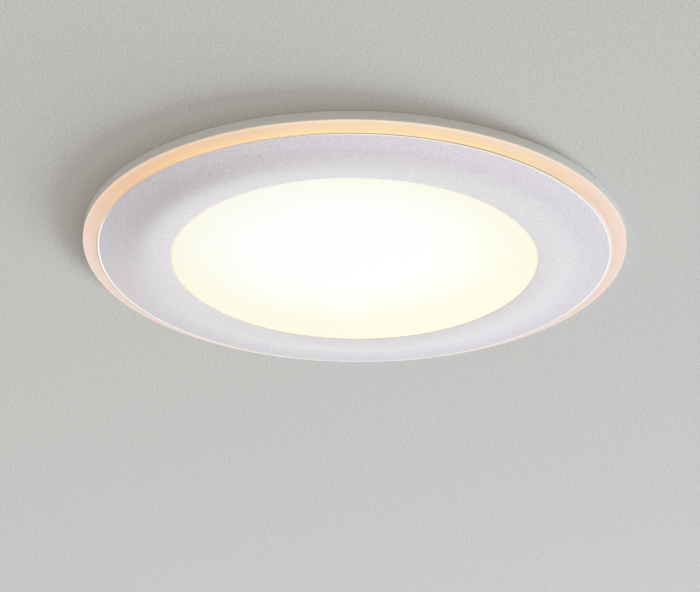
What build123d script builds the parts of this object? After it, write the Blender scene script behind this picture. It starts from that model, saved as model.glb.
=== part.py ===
from build123d import *
import math
import os

# Recessed downlight with a glowing edge ring. Millimetres. The origin is the centre of the
# cut-out on the visible side of the ceiling: +Z goes up into the ceiling void, the lit face
# looks down along -Z, the two spring clips lie on the X axis and the cable enters from -Y.

# Lit face, from the middle outwards
aperture_radius = 49.0
plateau_width = 5.1
shoulder_width = 5.4
slope_width = 8.5
bevel_width = 0.8
ring_width = 3.7
riser_inset = 0.4
shoulder_angle = 12.0
edge_angle = 8.0

# Heights of the lit side, from the ceiling downwards
plate_thickness = 1.1
lip_thickness = 1.95
lip_lap = 0.4
halo_board_thickness = 0.8
halo_led_height = 0.6
led_gap = 0.35
guide_thickness = 1.6
bevel_land = 0.2
bevel_height = 0.15
plateau_thickness = 1.0
diffuser_recess = 0.05
diffuser_flange = 1.2
reflector_flange = 1.0
edge_round = 0.3

# Inside the lit side
part_clearance = 0.4
diffuser_lap = 3.0
diffuser_clearance = 0.3
trim_boss_radius = 2.6
trim_boss_count = 3
boss_floor = 0.5
rim_clearance = 0.1
rim_wall = 0.5
guide_neck = 1.4
led_length = 3.5
led_width = 2.8
led_height = 0.7
halo_led_pitch = 10.8
main_led_pitch = 11.5
first_led_ring = 9.0
led_ring_step = 10.0
reflector_wall = 1.0
board_margin = 5.0
main_board_thickness = 1.6
thermal_pad_thickness = 0.5

# Collar and heat sink
collar_margin = 2.5
collar_wall = 1.5
collar_height = 15.0
sink_boss_radius = 3.0
sink_boss_depth = 8.0
boss_merge = 0.6
sink_step = 0.8
base_thickness = 4.0
fin_height = 13.0
fin_thickness = 1.6
fin_count = 44
fin_root_radius = 20.0
fin_setback = 0.4
fin_corner = 4.0
notch_floor = 1.2
clip_pad = 4.0
clip_pad_rise = 4.0
post_radius = 3.2
post_thread_depth = 9.0

# Spring clips
ceiling_thickness = 12.5
pivot_inset = 7.5
pivot_rise = 13.0
bracket_depth = 8.0
bracket_rise = 5.0
clip_sheet = 1.0
clip_half_width = 8.4
clip_gap = 0.3
pin_radius = 1.25
pin_fit = 0.05
pin_head_height = 0.8
pin_head_lap = 0.9
pivot_land = 1.95
spring_wire = 1.2
coil_clearance = 0.45
coil_gap = 0.75
coil_turns = 5
leg_gap = 0.2
leg_length = 13.0
arm_reach = 34.0
arm_flange_length = 21.0
curl_radius = 2.5
curl_sweep = 120.0
sleeve_length = 9.0
sleeve_wall = 0.8
sleeve_fit = 0.05

# Driver case
driver_gap = 2.0
case_width = 54.0
case_front = 41.0
case_back = 37.0
case_wall = 1.8
case_floor = 2.0
case_depth = 19.5
case_corner = 5.0
lid_thickness = 2.0
lid_gap = 0.6
cover_lift = 0.1
cover_length = 29.0
lid_post_radius = 2.6
base_screw_side = 9.0
base_screw_front = 15.0
base_screw_back = 11.0
knuckle_radius = 2.0
knuckle_rise = 0.4
knuckle_width = 8.0
cover_knuckle_width = 15.4
knuckle_gap = 0.3
hinge_pin_radius = 1.0
hinge_press_fit = 0.02
tongue_width = 24.0
tongue_depth = 3.5
tongue_gap = 1.0
tongue_wall = 1.2
tab_width = 16.0
tab_reach = 2.0

# Driver board and what stands on it
board_standoff = 3.2
standoff_radius = 2.0
driver_board_thickness = 1.6
board_side_gap = 6.2
board_back_gap = 1.2
bay_length = 15.5
standoff_inset = 2.5
standoff_front = 16.5
block_width = 20.0
block_depth = 11.5
block_height = 11.7
block_setback = 0.5
pole_pitch = 10.0
wire_entry_radius = 1.7
wire_entry_depth = 8.0
wire_entry_rise = 4.5
button_width = 4.0
button_depth = 5.0
button_height = 4.7
button_stand = 1.2
button_travel = 1.2
button_fit = 0.2
button_inset = 3.6
terminal_pin_radius = 0.6
terminal_pin_sink = 2.0
terminal_pin_tail = 1.0

transformer_spot = (7.0, 19.0)
transformer_width = 20.0
transformer_length = 17.0
transformer_height = 13.0
bobbin_foot = 2.0
winding_step = 2.0
capacitor_cans = [((-11.5, 24.0), 5.0, 12.5), ((-8.0, 10.0), 4.0, 11.0)]
can_round = 0.6
film_capacitor_spot = (0.0, -9.0)
film_capacitor_width = 12.0
film_capacitor_depth = 5.0
film_capacitor_height = 9.0
choke_spot = (8.0, 0.0)
choke_radius = 6.0
choke_groove = 1.2
choke_flange = 1.5
choke_winding = 6.0
chip_boxes = [
    ((-13.0, 0.0), 6.0, 6.0, 2.5),
    ((-3.0, -4.0), 5.0, 4.0, 1.6),
    ((-14.0, 8.0), 3.0, 5.0, 2.0),
]

# Cable inlet and clamp
inlet_rise = 7.0
inlet_bore = 3.6
inlet_hole = 5.0
grommet_flange = 1.5
grommet_lap = 1.3
clamp_distance = 7.5
clamp_width = 5.0
clamp_bar = 3.0
clamp_arch = 2.0
clamp_half_span = 9.0
clamp_post_radius = 2.6
clamp_gap = 1.0

# Leads inside the lamp
lead_radius = 0.65
lead_spread = 1.3
lead_bend = 2.5
lead_inset = 1.6
lead_gap = 0.05
lead_pocket = 0.6
lead_pad_reach = 6.0
lead_hole = 3.0
lead_exit_back = 7.0
lead_run_rise = 6.0
lead_channel = 7.0

# Fasteners
small_screw = 1.05
large_screw = 1.25
thread_fit = 0.05
screw_clearance = 0.35
small_head = 2.1
large_head = 2.75
head_height = 2.0
small_head_height = 1.5
drive_width = 0.7
drive_depth = 0.7

# Radii of the lit side
shoulder_radius = aperture_radius + plateau_width
inflection_radius = shoulder_radius + shoulder_width
bevel_radius = inflection_radius + slope_width
trim_radius = bevel_radius + bevel_width
riser_radius = trim_radius - riser_inset
lip_radius = trim_radius + ring_width
rim_inner = lip_radius - rim_wall
lip_body = rim_inner - rim_clearance
diffuser_radius = aperture_radius + diffuser_lap
boss_circle = diffuser_radius + part_clearance + trim_boss_radius
halo_inner = boss_circle + trim_boss_radius + part_clearance
guide_step = riser_radius - guide_neck
halo_outer = guide_step - part_clearance
halo_led_circle = (halo_inner + halo_outer) / 2
halo_led_count = int(2 * math.pi * halo_led_circle / halo_led_pitch)

# Levels of the lit side
plate_under = -plate_thickness
lip_under = plate_under - lip_thickness
lap_top = lip_under + lip_lap
rim_under = lap_top + rim_clearance
halo_board_under = plate_under - halo_board_thickness
guide_top = halo_board_under - halo_led_height - led_gap
guide_under = guide_top - guide_thickness
bevel_top = guide_under - bevel_land
edge_level = bevel_top - bevel_height
shoulder_sine = math.sin(math.radians(shoulder_angle))
shoulder_cosine = math.cos(math.radians(shoulder_angle))
edge_sine = math.sin(math.radians(edge_angle))
edge_cosine = math.cos(math.radians(edge_angle))
shoulder_curve = shoulder_width / shoulder_sine
shoulder_drop = shoulder_curve * (1 - shoulder_cosine)
slope_curve = slope_width / (shoulder_sine - edge_sine)
slope_drop = slope_curve * (edge_cosine - shoulder_cosine)
inflection_level = edge_level - slope_drop
face_level = inflection_level - shoulder_drop
seat_level = face_level + plateau_thickness
diffuser_top = seat_level + diffuser_flange
reflector_rim_top = diffuser_top + reflector_flange

# Radii and levels of the can
collar_radius = aperture_radius + collar_margin
bore_radius = collar_radius - collar_wall
sink_boss_circle = bore_radius - sink_boss_radius + boss_merge
main_board_radius = sink_boss_circle - sink_boss_radius - part_clearance
reflector_top_radius = main_board_radius - board_margin - reflector_wall
reflector_exit_radius = aperture_radius - diffuser_clearance
main_board_top = collar_height - thermal_pad_thickness
main_board_under = main_board_top - main_board_thickness
board_screw_circle = reflector_top_radius - small_head - 2 * part_clearance
led_ring_limit = board_screw_circle - small_head - part_clearance - led_width / 2
sink_radius = collar_radius - sink_step
base_top = collar_height + base_thickness
fin_top = base_top + fin_height
fin_outer = sink_radius - fin_setback

# Clip positions, for the right-hand clip
pivot_x = collar_radius - pivot_inset
pivot_z = collar_height + pivot_rise
pad_face = pivot_x - bracket_depth
notch_level = collar_height + notch_floor
ear_inside = clip_half_width + clip_gap
ear_outside = ear_inside + clip_sheet
notch_half = ear_outside + pin_head_height + 2 * part_clearance
pivot_round = pin_radius + pivot_land
coil_radius = pin_radius + coil_clearance + spring_wire / 2
web_top = -(coil_radius + spring_wire / 2 + leg_gap)
web_under = web_top - clip_sheet
sleeve_under = web_under - sleeve_fit - sleeve_wall
rest_height = pivot_z - ceiling_thickness
rest_angle = math.degrees(
    math.asin(rest_height / math.hypot(arm_reach, sleeve_under))
    - math.atan2(-sleeve_under, arm_reach)
)

# Driver levels and positions
driver_under = fin_top + driver_gap
floor_top = driver_under + case_floor
case_top = floor_top + case_depth
lid_top = case_top + lid_thickness
split_y = cover_length - case_front
case_length = case_front + case_back
case_middle = (case_back - case_front) / 2
inner_half = case_width / 2 - case_wall
driver_board_half = inner_half - board_side_gap
driver_board_back = case_back - case_wall - board_back_gap
driver_board_front = bay_length - case_front
driver_board_under = floor_top + board_standoff
driver_board_top = driver_board_under + driver_board_thickness
block_front = driver_board_front + block_setback
block_top = driver_board_top + block_height
button_middle = block_front + block_depth - button_inset
lid_post_x = inner_half - lid_post_radius + part_clearance / 2
lid_post_back = case_back - case_wall - lid_post_radius + part_clearance / 2
lid_post_front = split_y + 2 * lid_post_radius
base_screw_x = case_width / 2 - base_screw_side
base_screw_spots = [
    (side * base_screw_x, y)
    for side in (1, -1)
    for y in (case_back - base_screw_back, base_screw_front - case_front)
]
lid_screw_spots = [
    (side * lid_post_x, y) for side in (1, -1) for y in (lid_post_back, lid_post_front)
]
standoff_spots = [
    (side * (driver_board_half - standoff_inset), y)
    for side in (1, -1)
    for y in (driver_board_back - standoff_inset, driver_board_front + standoff_front)
]
hinge_z = lid_top + knuckle_rise
inlet_z = floor_top + inlet_rise
clamp_y = clamp_distance - case_front
lead_exit_y = case_back - lead_exit_back
lead_drop_y = bore_radius - lead_inset
lead_run_z = base_top + lead_run_rise
lead_end_z = plate_under - lead_radius - lead_gap
pole_spots = [-pole_pitch / 2, pole_pitch / 2]

# Placement of a solid on its underside or on its top
upward = (Align.CENTER, Align.CENTER, Align.MIN)
downward = (Align.CENTER, Align.CENTER, Align.MAX)


def pan_screw(thread_radius, thread_length, head_radius, head_rise):
    """Pan-head screw with a cross drive, seated at the current location."""
    Cylinder(thread_radius - thread_fit, thread_length, align=downward)
    Cylinder(head_radius, head_rise, align=upward)
    with Locations((0, 0, head_rise)):
        for turn in (0, 90):
            Box(
                head_radius * 1.3, drive_width, drive_depth,
                rotation=(0, 0, turn), align=downward, mode=Mode.SUBTRACT,
            )


def flush_screw(thread_radius, thread_length, head_radius):
    """Countersunk screw with a cross drive, its head flush at the current location."""
    inner = thread_radius - thread_fit
    Cone(inner, head_radius, head_radius - inner, align=downward)
    Cylinder(inner, thread_length, align=downward)
    for turn in (0, 90):
        Box(
            head_radius * 1.1, drive_width, drive_depth,
            rotation=(0, 0, turn), align=downward, mode=Mode.SUBTRACT,
        )


def save(piece, name):
    """Name the piece and write it out."""
    piece.part.label = name
    export_step(piece.part, f"parts/{name}.step")


os.makedirs("parts", exist_ok=True)

# Front trim: die-cast ring with the plateau, shoulder, hollow slope and bevelled edge
with BuildPart() as front_trim:
    with BuildSketch(Plane.XZ):
        with BuildLine():
            Line((aperture_radius, face_level), (shoulder_radius, face_level))
            CenterArc(
                (shoulder_radius, face_level + shoulder_curve), shoulder_curve, -90, shoulder_angle
            )
            CenterArc(
                (
                    inflection_radius + slope_curve * shoulder_sine,
                    inflection_level - slope_curve * shoulder_cosine,
                ),
                slope_curve, 90 + shoulder_angle, edge_angle - shoulder_angle,
            )
            Polyline(
                (bevel_radius, edge_level),
                (trim_radius, bevel_top),
                (trim_radius, guide_under),
                (halo_inner, guide_under),
                (halo_inner, seat_level),
                (aperture_radius, seat_level),
                (aperture_radius, face_level),
            )
        make_face()
    revolve(axis=Axis.Z)
    with BuildSketch(Plane.XY.offset(seat_level)):
        with PolarLocations(boss_circle, trim_boss_count, start_angle=30):
            Circle(trim_boss_radius)
    extrude(amount=plate_under - seat_level)
    with Locations((0, 0, plate_under)):
        with PolarLocations(boss_circle, trim_boss_count, start_angle=30):
            Hole(small_screw, plate_under - seat_level - boss_floor)
    inner_edge = front_trim.edges().filter_by(GeomType.CIRCLE).group_by(Axis.Z)[0]
    fillet(inner_edge.sort_by(SortBy.RADIUS)[0], min(edge_round, plateau_thickness / 3))
save(front_trim, "front_trim")

# Opal disc: its raised middle fills the aperture, its flange lies behind the trim
with BuildPart() as main_diffuser:
    with BuildSketch(Plane.XZ):
        with BuildLine():
            Polyline(
                (0, face_level + diffuser_recess),
                (reflector_exit_radius, face_level + diffuser_recess),
                (reflector_exit_radius, seat_level),
                (diffuser_radius, seat_level),
                (diffuser_radius, diffuser_top),
                (0, diffuser_top),
                close=True,
            )
        make_face()
    revolve(axis=Axis.Z)
save(main_diffuser, "main_diffuser")

# Acrylic ring: a body under its LEDs, a riser around the trim and a lip that laps the flange rim
with BuildPart() as halo_light_guide:
    with BuildSketch(Plane.XZ) as guide_profile:
        with BuildLine():
            Polyline(
                (halo_inner, guide_under),
                (riser_radius, guide_under),
                (riser_radius, lip_under),
                (lip_radius, lip_under),
                (lip_radius, lap_top),
                (lip_body, lap_top),
                (lip_body, plate_under),
                (guide_step, plate_under),
                (guide_step, guide_top),
                (halo_inner, guide_top),
                close=True,
            )
        make_face()
        outer_corners = guide_profile.vertices().group_by(Axis.X)[-1]
        fillet(outer_corners.sort_by(Axis.Y)[0], min(edge_round, lip_lap / 2))
        riser_corner = guide_profile.vertices().sort_by_distance((riser_radius, lip_under))[0]
        fillet(riser_corner, edge_round)
    revolve(axis=Axis.Z)
save(halo_light_guide, "halo_light_guide")

# Die-cast flange and collar: the rim stands down from the ceiling, the collar fills the cut-out
with BuildPart() as mounting_flange:
    with BuildSketch(Plane.XZ) as flange_profile:
        with BuildLine():
            Polyline(
                (bore_radius, plate_under),
                (rim_inner, plate_under),
                (rim_inner, rim_under),
                (lip_radius, rim_under),
                (lip_radius, 0),
                (collar_radius, 0),
                (collar_radius, collar_height),
                (bore_radius, collar_height),
                close=True,
            )
        make_face()
        for corner in ((lip_radius, 0), (lip_radius, rim_under)):
            rim_corner = flange_profile.vertices().sort_by_distance(corner)[0]
            fillet(rim_corner, min(edge_round, rim_wall) / 2)
    revolve(axis=Axis.Z)
    with BuildSketch(Plane.XY.offset(collar_height)):
        with PolarLocations(sink_boss_circle, 4, start_angle=45):
            Circle(sink_boss_radius)
    extrude(amount=-sink_boss_depth)
    with Locations((0, 0, collar_height)):
        with PolarLocations(sink_boss_circle, 4, start_angle=45):
            Hole(large_screw, sink_boss_depth - 1)
    with PolarLocations(boss_circle, trim_boss_count, start_angle=30):
        CounterSinkHole(small_screw + screw_clearance, small_head + part_clearance / 2,
                        plate_thickness, 90)
    with Locations((0, bore_radius, plate_under)):
        Box(
            2 * (lead_spread + lead_radius + part_clearance), 2 * (lead_bend + part_clearance),
            2 * lead_pocket, mode=Mode.SUBTRACT,
        )
save(mounting_flange, "mounting_flange")

with BuildPart() as trim_screws:
    with PolarLocations(boss_circle, trim_boss_count, start_angle=30):
        flush_screw(small_screw, plate_thickness + (plate_under - seat_level) / 2, small_head)
save(trim_screws, "trim_screws")

# Ring board of the edge glow, with its LEDs looking down into the acrylic
with BuildPart() as halo_led_board:
    with BuildSketch(Plane.XY.offset(halo_board_under)):
        Circle(halo_outer)
        Circle(halo_inner, mode=Mode.SUBTRACT)
    extrude(amount=halo_board_thickness)
save(halo_led_board, "halo_led_board")

with BuildPart() as halo_leds:
    with BuildSketch(Plane.XY.offset(halo_board_under)):
        with PolarLocations(halo_led_circle, halo_led_count):
            Rectangle(led_width, led_length)
    extrude(amount=-halo_led_height)
save(halo_leds, "halo_leds")

# Main light engine: board, LEDs in rings, thermal pad, screws and white reflector cone
led_rings = []
ring_radius = first_led_ring
while ring_radius <= led_ring_limit:
    led_rings.append(ring_radius)
    ring_radius += led_ring_step

with BuildPart() as main_led_board:
    with BuildSketch(Plane.XY.offset(main_board_under)):
        Circle(main_board_radius)
        Circle(lead_spread + lead_bend, mode=Mode.SUBTRACT)
        with PolarLocations(board_screw_circle, 3, start_angle=90):
            Circle(small_screw + screw_clearance, mode=Mode.SUBTRACT)
    extrude(amount=main_board_thickness)
save(main_led_board, "main_led_board")

with BuildPart() as main_leds:
    with BuildSketch(Plane.XY.offset(main_board_under)):
        for ring in led_rings:
            with PolarLocations(ring, int(2 * math.pi * ring / main_led_pitch), start_angle=36):
                Rectangle(led_width, led_length)
    extrude(amount=-led_height)
save(main_leds, "main_leds")

with BuildPart() as thermal_pad:
    with BuildSketch(Plane.XY.offset(main_board_top)):
        Circle(main_board_radius)
        Circle(lead_spread + lead_bend, mode=Mode.SUBTRACT)
        with PolarLocations(board_screw_circle, 3, start_angle=90):
            Circle(small_screw + screw_clearance, mode=Mode.SUBTRACT)
    extrude(amount=thermal_pad_thickness)
save(thermal_pad, "thermal_pad")

with BuildPart() as board_screws:
    with Locations(Plane((0, 0, main_board_under), x_dir=(1, 0, 0), z_dir=(0, 0, -1))):
        with PolarLocations(board_screw_circle, 3, start_angle=-90):
            pan_screw(
                small_screw,
                main_board_thickness + thermal_pad_thickness + base_thickness / 2,
                small_head, small_head_height,
            )
save(board_screws, "board_screws")

with BuildPart() as reflector:
    reflector_slope = (reflector_exit_radius - reflector_top_radius) / (
        main_board_under - diffuser_top
    )
    rim_cone_radius = reflector_exit_radius + reflector_wall - reflector_slope * reflector_flange
    with BuildSketch(Plane.XZ):
        with BuildLine():
            Polyline(
                (reflector_top_radius, main_board_under),
                (reflector_exit_radius, diffuser_top),
                (diffuser_radius, diffuser_top),
                (diffuser_radius, reflector_rim_top),
                (rim_cone_radius, reflector_rim_top),
                (reflector_top_radius + reflector_wall, main_board_under),
                close=True,
            )
        make_face()
    revolve(axis=Axis.Z)
save(reflector, "reflector")

# Heat sink: base plate, radial fins, flat pads for the clips and posts for the driver case
with BuildPart() as heat_sink:
    with BuildSketch(Plane.XY.offset(collar_height)):
        Circle(sink_radius)
    extrude(amount=base_thickness)
    with BuildSketch(Plane.XY.offset(base_top)):
        with PolarLocations((fin_root_radius + fin_outer) / 2, fin_count, start_angle=4):
            Rectangle(fin_outer - fin_root_radius, fin_thickness)
    extrude(amount=fin_height)
    with BuildSketch(Plane.XZ):
        with BuildLine():
            Polyline(
                (fin_outer - fin_corner, fin_top),
                (sink_radius + fin_corner, fin_top + 2 * fin_corner + sink_step),
                (sink_radius + fin_corner, fin_top - 2 * fin_corner - fin_setback),
                close=True,
            )
        make_face()
    revolve(axis=Axis.Z, mode=Mode.SUBTRACT)
    with BuildSketch(Plane.XY.offset(notch_level)):
        for side in (1, -1):
            with Locations((side * pad_face, 0)):
                Rectangle(
                    2 * sink_radius, 2 * notch_half,
                    align=(Align.MIN if side > 0 else Align.MAX, Align.CENTER),
                )
    extrude(amount=fin_top - notch_level + fin_corner, mode=Mode.SUBTRACT)
    with BuildSketch(Plane.XY.offset(base_top)):
        for side in (1, -1):
            with Locations((side * (pad_face - clip_pad / 2), 0)):
                Rectangle(clip_pad, 2 * notch_half)
    extrude(amount=pivot_z + clip_pad_rise - base_top)
    with BuildSketch(Plane.XY.offset(base_top)):
        with Locations((0, lead_exit_y - lead_channel / 2)):
            Rectangle(lead_channel, sink_radius, align=(Align.CENTER, Align.MIN))
    extrude(amount=fin_height + fin_corner, mode=Mode.SUBTRACT)
    with BuildSketch(Plane.XY.offset(base_top)):
        with Locations(*base_screw_spots):
            Circle(post_radius)
    extrude(amount=driver_under - base_top)
    with Locations(*[(x, y, driver_under) for x, y in base_screw_spots]):
        Hole(large_screw, post_thread_depth)
    with BuildSketch(Plane.XY.offset(base_top)):
        with PolarLocations(sink_boss_circle, 4, start_angle=45):
            Circle(large_head + part_clearance)
    extrude(amount=fin_height + fin_corner, mode=Mode.SUBTRACT)
    with Locations((0, 0, base_top)):
        with PolarLocations(sink_boss_circle, 4, start_angle=45):
            Hole(large_screw + screw_clearance, base_thickness)
        Hole(lead_hole, base_thickness)
        with Locations((0, lead_drop_y)):
            Hole(lead_spread + lead_radius + part_clearance / 2, base_thickness)
    with Locations(Plane((0, 0, collar_height), x_dir=(1, 0, 0), z_dir=(0, 0, -1))):
        with PolarLocations(board_screw_circle, 3, start_angle=-90):
            Hole(small_screw, base_thickness * 0.75)
    for side in (1, -1):
        with Locations(Plane((side * pad_face, 0, pivot_z), z_dir=(side, 0, 0))):
            Hole(large_screw, clip_pad)
save(heat_sink, "heat_sink")

with BuildPart() as heat_sink_screws:
    with Locations((0, 0, base_top)):
        with PolarLocations(sink_boss_circle, 4, start_angle=45):
            pan_screw(
                large_screw, base_thickness + sink_boss_depth - 2, large_head, head_height
            )
save(heat_sink_screws, "heat_sink_screws")

# Right-hand spring clip. Its bracket stands on the notch floor against the heat sink's pad.
with BuildPart() as clip_bracket_right:
    with BuildSketch(Plane.YZ.offset(pad_face)):
        with Locations((0, notch_level)):
            Rectangle(
                2 * ear_outside, pivot_z + bracket_rise - notch_level,
                align=(Align.CENTER, Align.MIN),
            )
        with Locations((0, pivot_z)):
            Circle(large_screw + screw_clearance, mode=Mode.SUBTRACT)
    extrude(amount=clip_sheet)
    with BuildSketch(Plane.XZ.offset(-ear_outside)):
        with Locations((pad_face, pivot_z)):
            Rectangle(bracket_depth, 2 * pivot_round, align=(Align.MIN, Align.CENTER))
        with Locations((pivot_x, pivot_z)):
            Circle(pivot_round)
    extrude(amount=clip_sheet)
    with BuildSketch(Plane.XZ.offset(ear_inside)):
        with Locations((pad_face, pivot_z)):
            Rectangle(bracket_depth, 2 * pivot_round, align=(Align.MIN, Align.CENTER))
        with Locations((pivot_x, pivot_z)):
            Circle(pivot_round)
    extrude(amount=clip_sheet)
    with Locations(Plane((pivot_x, 0, pivot_z), z_dir=(0, 1, 0))):
        Cylinder(pin_radius + pin_fit, 4 * ear_outside, mode=Mode.SUBTRACT)

# Torsion spring: hooked through the bracket, wound round the pin, its free leg on the arm
quarter_ramp = math.pi / 2
winding = 2 * math.pi * coil_turns - math.radians(rest_angle)
rise_rate = (spring_wire + coil_gap) / (2 * math.pi)
coil_length = rise_rate * (winding - quarter_ramp)


def coil_point(turned):
    """Centre of the wire after the given angle of winding, with flat ends."""
    if turned < quarter_ramp:
        along = rise_rate * turned * turned / (2 * quarter_ramp)
    elif turned > winding - quarter_ramp:
        left = winding - turned
        along = coil_length - rise_rate * left * left / (2 * quarter_ramp)
    else:
        along = rise_rate * (turned - quarter_ramp / 2)
    angle = turned - math.pi / 2
    return Vector(
        pivot_x + coil_radius * math.cos(angle),
        along - coil_length / 2,
        pivot_z + coil_radius * math.sin(angle),
    )


def coil_tangent(turned):
    """Direction of the wire after the given angle of winding."""
    share = max(0.0, min(1.0, turned / quarter_ramp, (winding - turned) / quarter_ramp))
    angle = turned - math.pi / 2
    return Vector(
        -coil_radius * math.sin(angle), rise_rate * share, coil_radius * math.cos(angle)
    ).normalized()


def arc_through(start, corner, end):
    """Arc from start to end that is tangent to both legs of the corner."""
    weight = (end - start).length / 2 / (corner - start).length
    middle = (start + corner * (2 * weight) + end) / (2 + 2 * weight)
    ThreePointArc(start, middle, end)


def biarc(start, start_direction, end, end_direction):
    """Two tangent arcs that leave and reach the given points in the given directions."""
    chord = end - start
    both = start_direction + end_direction
    quadratic = 2 * (start_direction.dot(end_direction) - 1)
    linear = -2 * chord.dot(both)
    constant = chord.dot(chord)
    reach = (-linear - math.sqrt(linear * linear - 4 * quadratic * constant)) / (2 * quadratic)
    if reach < 0:
        reach = (-linear + math.sqrt(linear * linear - 4 * quadratic * constant)) / (2 * quadratic)
    first = start + start_direction * reach
    second = end - end_direction * reach
    joint = (first + second) / 2
    arc_through(start, first, joint)
    arc_through(joint, second, end)


arm_direction = Vector(
    math.cos(math.radians(rest_angle)), 0, -math.sin(math.radians(rest_angle))
)
quarter_count = 4 * coil_turns
quarter_step = winding / quarter_count
hook_start = coil_point(0) - Vector(bracket_depth - clip_sheet / 2, 0, 0)
leg_end = coil_point(winding) + arm_direction * leg_length

with BuildPart() as clip_spring_right:
    with BuildLine() as spring_path:
        Line(hook_start, coil_point(0))
        for step in range(quarter_count):
            biarc(
                coil_point(step * quarter_step), coil_tangent(step * quarter_step),
                coil_point((step + 1) * quarter_step), coil_tangent((step + 1) * quarter_step),
            )
        Line(coil_point(winding), leg_end)
    with BuildSketch(Plane(hook_start, z_dir=(1, 0, 0))):
        Circle(spring_wire / 2)
    sweep(path=spring_path.wires()[0])

samples = [coil_point(winding * i / 720) for i in range(721)]
turn_samples = int(720 * math.pi / winding)
spring_gap = min(
    (samples[i] - samples[j]).length
    for i in range(len(samples))
    for j in range(i + turn_samples, len(samples))
)
print(f"least gap between turns of the clip spring: {spring_gap - spring_wire:.2f} mm")

with BuildPart(mode=Mode.PRIVATE) as hook_hole:
    with Locations(Plane(hook_start, z_dir=(1, 0, 0))):
        Cylinder(spring_wire / 2 + pin_fit, 4 * clip_sheet)
with BuildPart() as clip_bracket_right_drilled:
    add(clip_bracket_right.part)
    add(hook_hole.part, mode=Mode.SUBTRACT)

with BuildPart() as clip_pin_right:
    with BuildSketch(Plane.XZ.offset(-ear_outside)):
        with Locations((pivot_x, pivot_z)):
            Circle(pin_radius)
    extrude(amount=2 * ear_outside)
    for face_y, amount in ((-ear_outside, -pin_head_height), (ear_outside, pin_head_height)):
        with BuildSketch(Plane.XZ.offset(face_y)):
            with Locations((pivot_x, pivot_z)):
                Circle(pin_radius + pin_head_lap)
        extrude(amount=amount)
        outer = clip_pin_right.faces().sort_by(Axis.Y)[0 if face_y > 0 else -1]
        fillet(outer.edges(), pin_head_height / 2)

# Arm: stamped channel on the pin, with a curled tip and a soft sleeve where it meets the board
arm_side = Plane(
    (pivot_x, clip_half_width, pivot_z), x_dir=tuple(arm_direction), z_dir=(0, -1, 0)
)
curl_centre = (arm_reach, web_top + curl_radius)


def tangent_point(point, side):
    """Where a line from the point touches the rounded end of the arm's flange."""
    turn = math.acos(pivot_round / math.hypot(*point))
    angle = math.atan2(point[1], point[0]) + side * turn
    return (pivot_round * math.cos(angle), pivot_round * math.sin(angle))


with BuildPart() as clip_arm_right:
    with BuildSketch(arm_side):
        with BuildLine():
            tip_outside = CenterArc(curl_centre, curl_radius + clip_sheet, -90, curl_sweep)
            tip_inside = CenterArc(curl_centre, curl_radius, -90, curl_sweep)
            Line(tip_outside @ 1, tip_inside @ 1)
            Polyline(
                tip_inside @ 0, (-web_under, web_top), (-web_under, web_under), tip_outside @ 0
            )
        make_face()
    extrude(amount=2 * clip_half_width)
    for inset in (0, 2 * clip_half_width - clip_sheet):
        with BuildSketch(arm_side.offset(inset)):
            Circle(pivot_round)
            Polygon(
                tangent_point((arm_flange_length, web_top), 1),
                (arm_flange_length, web_top),
                (arm_flange_length, web_under),
                (-2 * web_under, web_under),
                tangent_point((-2 * web_under, web_under), -1),
                (0, 0),
                align=None,
            )
        extrude(amount=clip_sheet)
    with Locations(Plane((pivot_x, 0, pivot_z), z_dir=(0, 1, 0))):
        Cylinder(pin_radius + pin_fit, 4 * clip_half_width, mode=Mode.SUBTRACT)

with BuildPart() as clip_sleeve_right:
    sleeve_half = clip_half_width + sleeve_fit + sleeve_wall
    with BuildSketch(arm_side.offset(clip_half_width - sleeve_half)):
        with Locations((arm_reach - sleeve_length, sleeve_under)):
            Rectangle(
                sleeve_length, clip_sheet + 2 * (sleeve_fit + sleeve_wall),
                align=(Align.MIN, Align.MIN),
            )
    extrude(amount=2 * sleeve_half)
    fillet(clip_sleeve_right.edges().filter_by(Axis.Y), sleeve_wall / 2)
    with BuildSketch(arm_side.offset(-sleeve_fit)):
        with Locations((arm_reach - sleeve_length, web_under - sleeve_fit)):
            Rectangle(
                2 * sleeve_length, clip_sheet + 2 * sleeve_fit, align=(Align.CENTER, Align.MIN)
            )
            Rectangle(
                2 * sleeve_length, clip_sheet + 2 * sleeve_fit, align=(Align.MIN, Align.MIN)
            )
    extrude(amount=2 * (clip_half_width + sleeve_fit), mode=Mode.SUBTRACT)

# The left-hand clip is the same set turned half round the lamp
clip_pieces = {
    "clip_bracket": clip_bracket_right_drilled,
    "clip_pin": clip_pin_right,
    "clip_spring": clip_spring_right,
    "clip_arm": clip_arm_right,
    "clip_sleeve": clip_sleeve_right,
}
for clip_name, right_piece in clip_pieces.items():
    save(right_piece, f"{clip_name}_right")
    with BuildPart() as left_piece:
        add(right_piece.part.rotate(Axis.Z, 180))
    save(left_piece, f"{clip_name}_left")

with BuildPart() as bracket_screws:
    for side in (1, -1):
        with Locations(Plane((side * (pad_face + clip_sheet), 0, pivot_z), z_dir=(side, 0, 0))):
            pan_screw(large_screw, clip_sheet + clip_pad * 0.75, large_head, head_height)
save(bracket_screws, "bracket_screws")

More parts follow.
